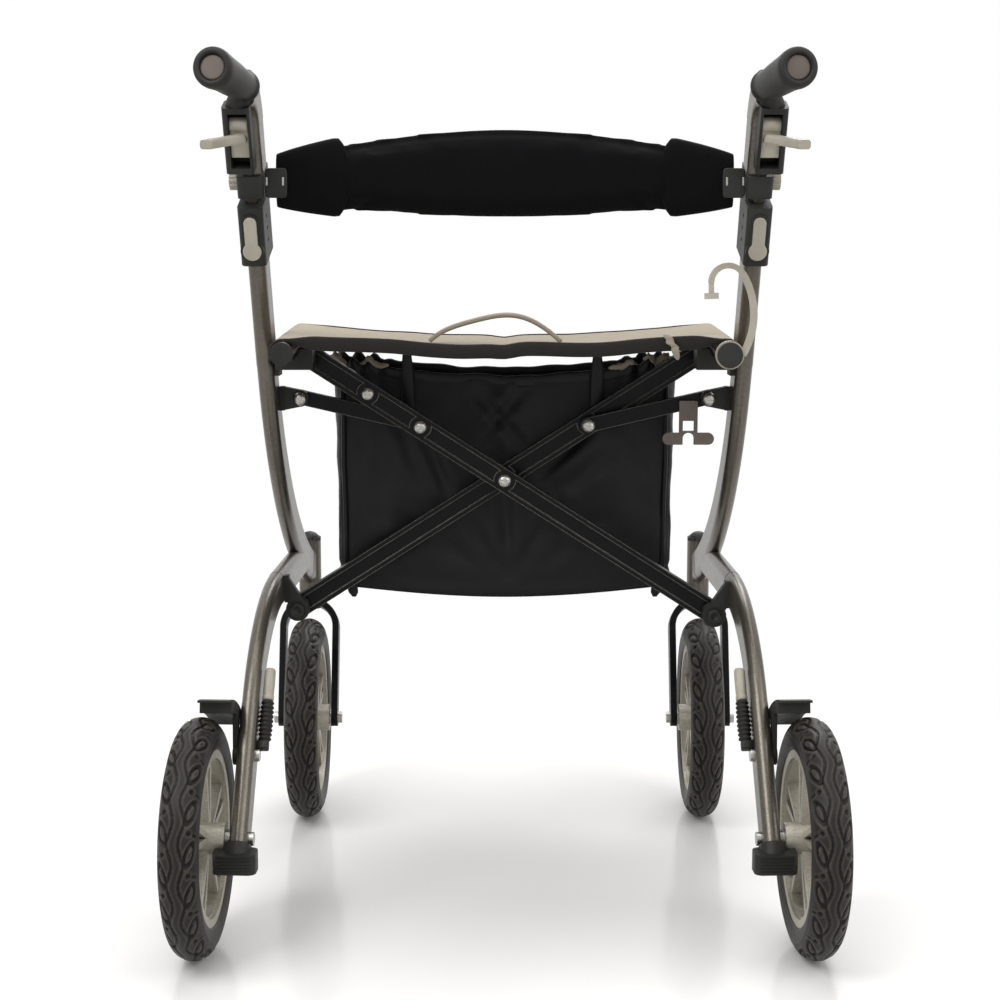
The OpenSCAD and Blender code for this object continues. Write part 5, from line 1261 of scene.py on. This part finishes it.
def background_share(tree):
    """1 where the camera, a reflection or a see-through surface looks, 0 for light that falls on things."""
    path = tree.nodes.new("ShaderNodeLightPath")
    total = path.outputs["Is Camera Ray"]
    for output in ("Is Glossy Ray", "Is Transmission Ray"):
        node = tree.nodes.new("ShaderNodeMath")
        node.operation = "MAXIMUM"
        tree.links.new(total, node.inputs[0])
        tree.links.new(path.outputs[output], node.inputs[1])
        total = node.outputs["Value"]
    return total


def make_world():
    world = bpy.data.worlds.new("studio")
    world.use_nodes = True
    tree = world.node_tree
    background = tree.nodes["Background"]
    background.inputs["Color"].default_value = shade("white")
    strength = tree.nodes.new("ShaderNodeMapRange")
    strength.inputs["To Min"].default_value = WORLD_LIGHT
    strength.inputs["To Max"].default_value = 1.0
    tree.links.new(background_share(tree), strength.inputs["Value"])
    tree.links.new(strength.outputs["Result"], background.inputs["Strength"])
    bpy.context.scene.world = world


def make_floor():
    """A pale floor with a painted shadow that darkens it under the object, and that turns into the white
    background further off.
    """
    s = Shader("floor", {"Roughness": 0.16, "Specular IOR Level": 0.4, "Emission Color": shade("white")})
    at = s.point()
    seen = background_share(s.tree)
    away = s.add("VectorMath", {0: at}, operation="LENGTH").outputs["Value"]
    away = s.math("ADD", away, s.grey(s.noise(at, 3.0, 3.0), -0.03, 0.03))

    def step(start, end):
        span = {"Value": away, "From Min": start, "From Max": end}
        return s.add("MapRange", span, interpolation_type="SMOOTHSTEP").outputs["Result"]

    # Painted shadow: the darker floor shade near the middle under the object, paling outwards
    s.set("Base Color", s.mix(step(FLOOR_SHADOW_FULL, FLOOR_SHADOW_END), shade("floor"), shade("floor_pale")))
    s.set("Emission Strength", s.math("MULTIPLY", seen, FLOOR_GLOW))
    sky = s.add("Emission", {"Strength": 1.0}).outputs["Emission"]
    parts = {0: s.math("MULTIPLY", seen, step(FLOOR_NEAR, FLOOR_FAR)), 1: s.bsdf.outputs["BSDF"], 2: sky}
    surface = s.add("MixShader", parts).outputs["Shader"]
    s.tree.links.new(surface, s.tree.nodes["Material Output"].inputs["Surface"])
    mesh = bpy.data.meshes.new("floor")
    corners = [(-1, -1), (1, -1), (1, 1), (-1, 1)]
    mesh.from_pydata([(x * FLOOR_REACH, y * FLOOR_REACH, 0) for x, y in corners], [], [(0, 1, 2, 3)])
    mesh.materials.append(s.material)
    floor = add_object("floor", mesh)


LAMPS = (
    ("key", (-1.5, -1.6, 2.6), 1.6, 55.0),
    ("fill", (1.9, -1.2, 1.8), 1.8, 26.0),
    ("rim", (0.4, 2.2, 2.4), 1.6, 34.0),
    ("top", (0.0, 0.0, 3.2), 2.2, 34.0),
)
LAMP_AIM = Vector((0, 0, 0.4))


def make_lamps():
    for name, place, size, power in LAMPS:
        data = bpy.data.lights.new(name, "AREA")
        data.size = size
        data.energy = power
        lamp = add_object(name, data)
        lamp.location = place
        lamp.rotation_mode = "QUATERNION"
        lamp.rotation_quaternion = (LAMP_AIM - Vector(place)).to_track_quat("-Z", "Y")


bpy.context.scene.view_settings.view_transform = "Standard"
make_camera()
make_world()
make_floor()
make_lamps()
dress_cad()
soften_cad()
make_tyres()
make_seat()
make_strap()
make_pad()
make_bag()
make_grips()
make_boots()
make_bolts()
make_clips()
make_necks()
make_tie()
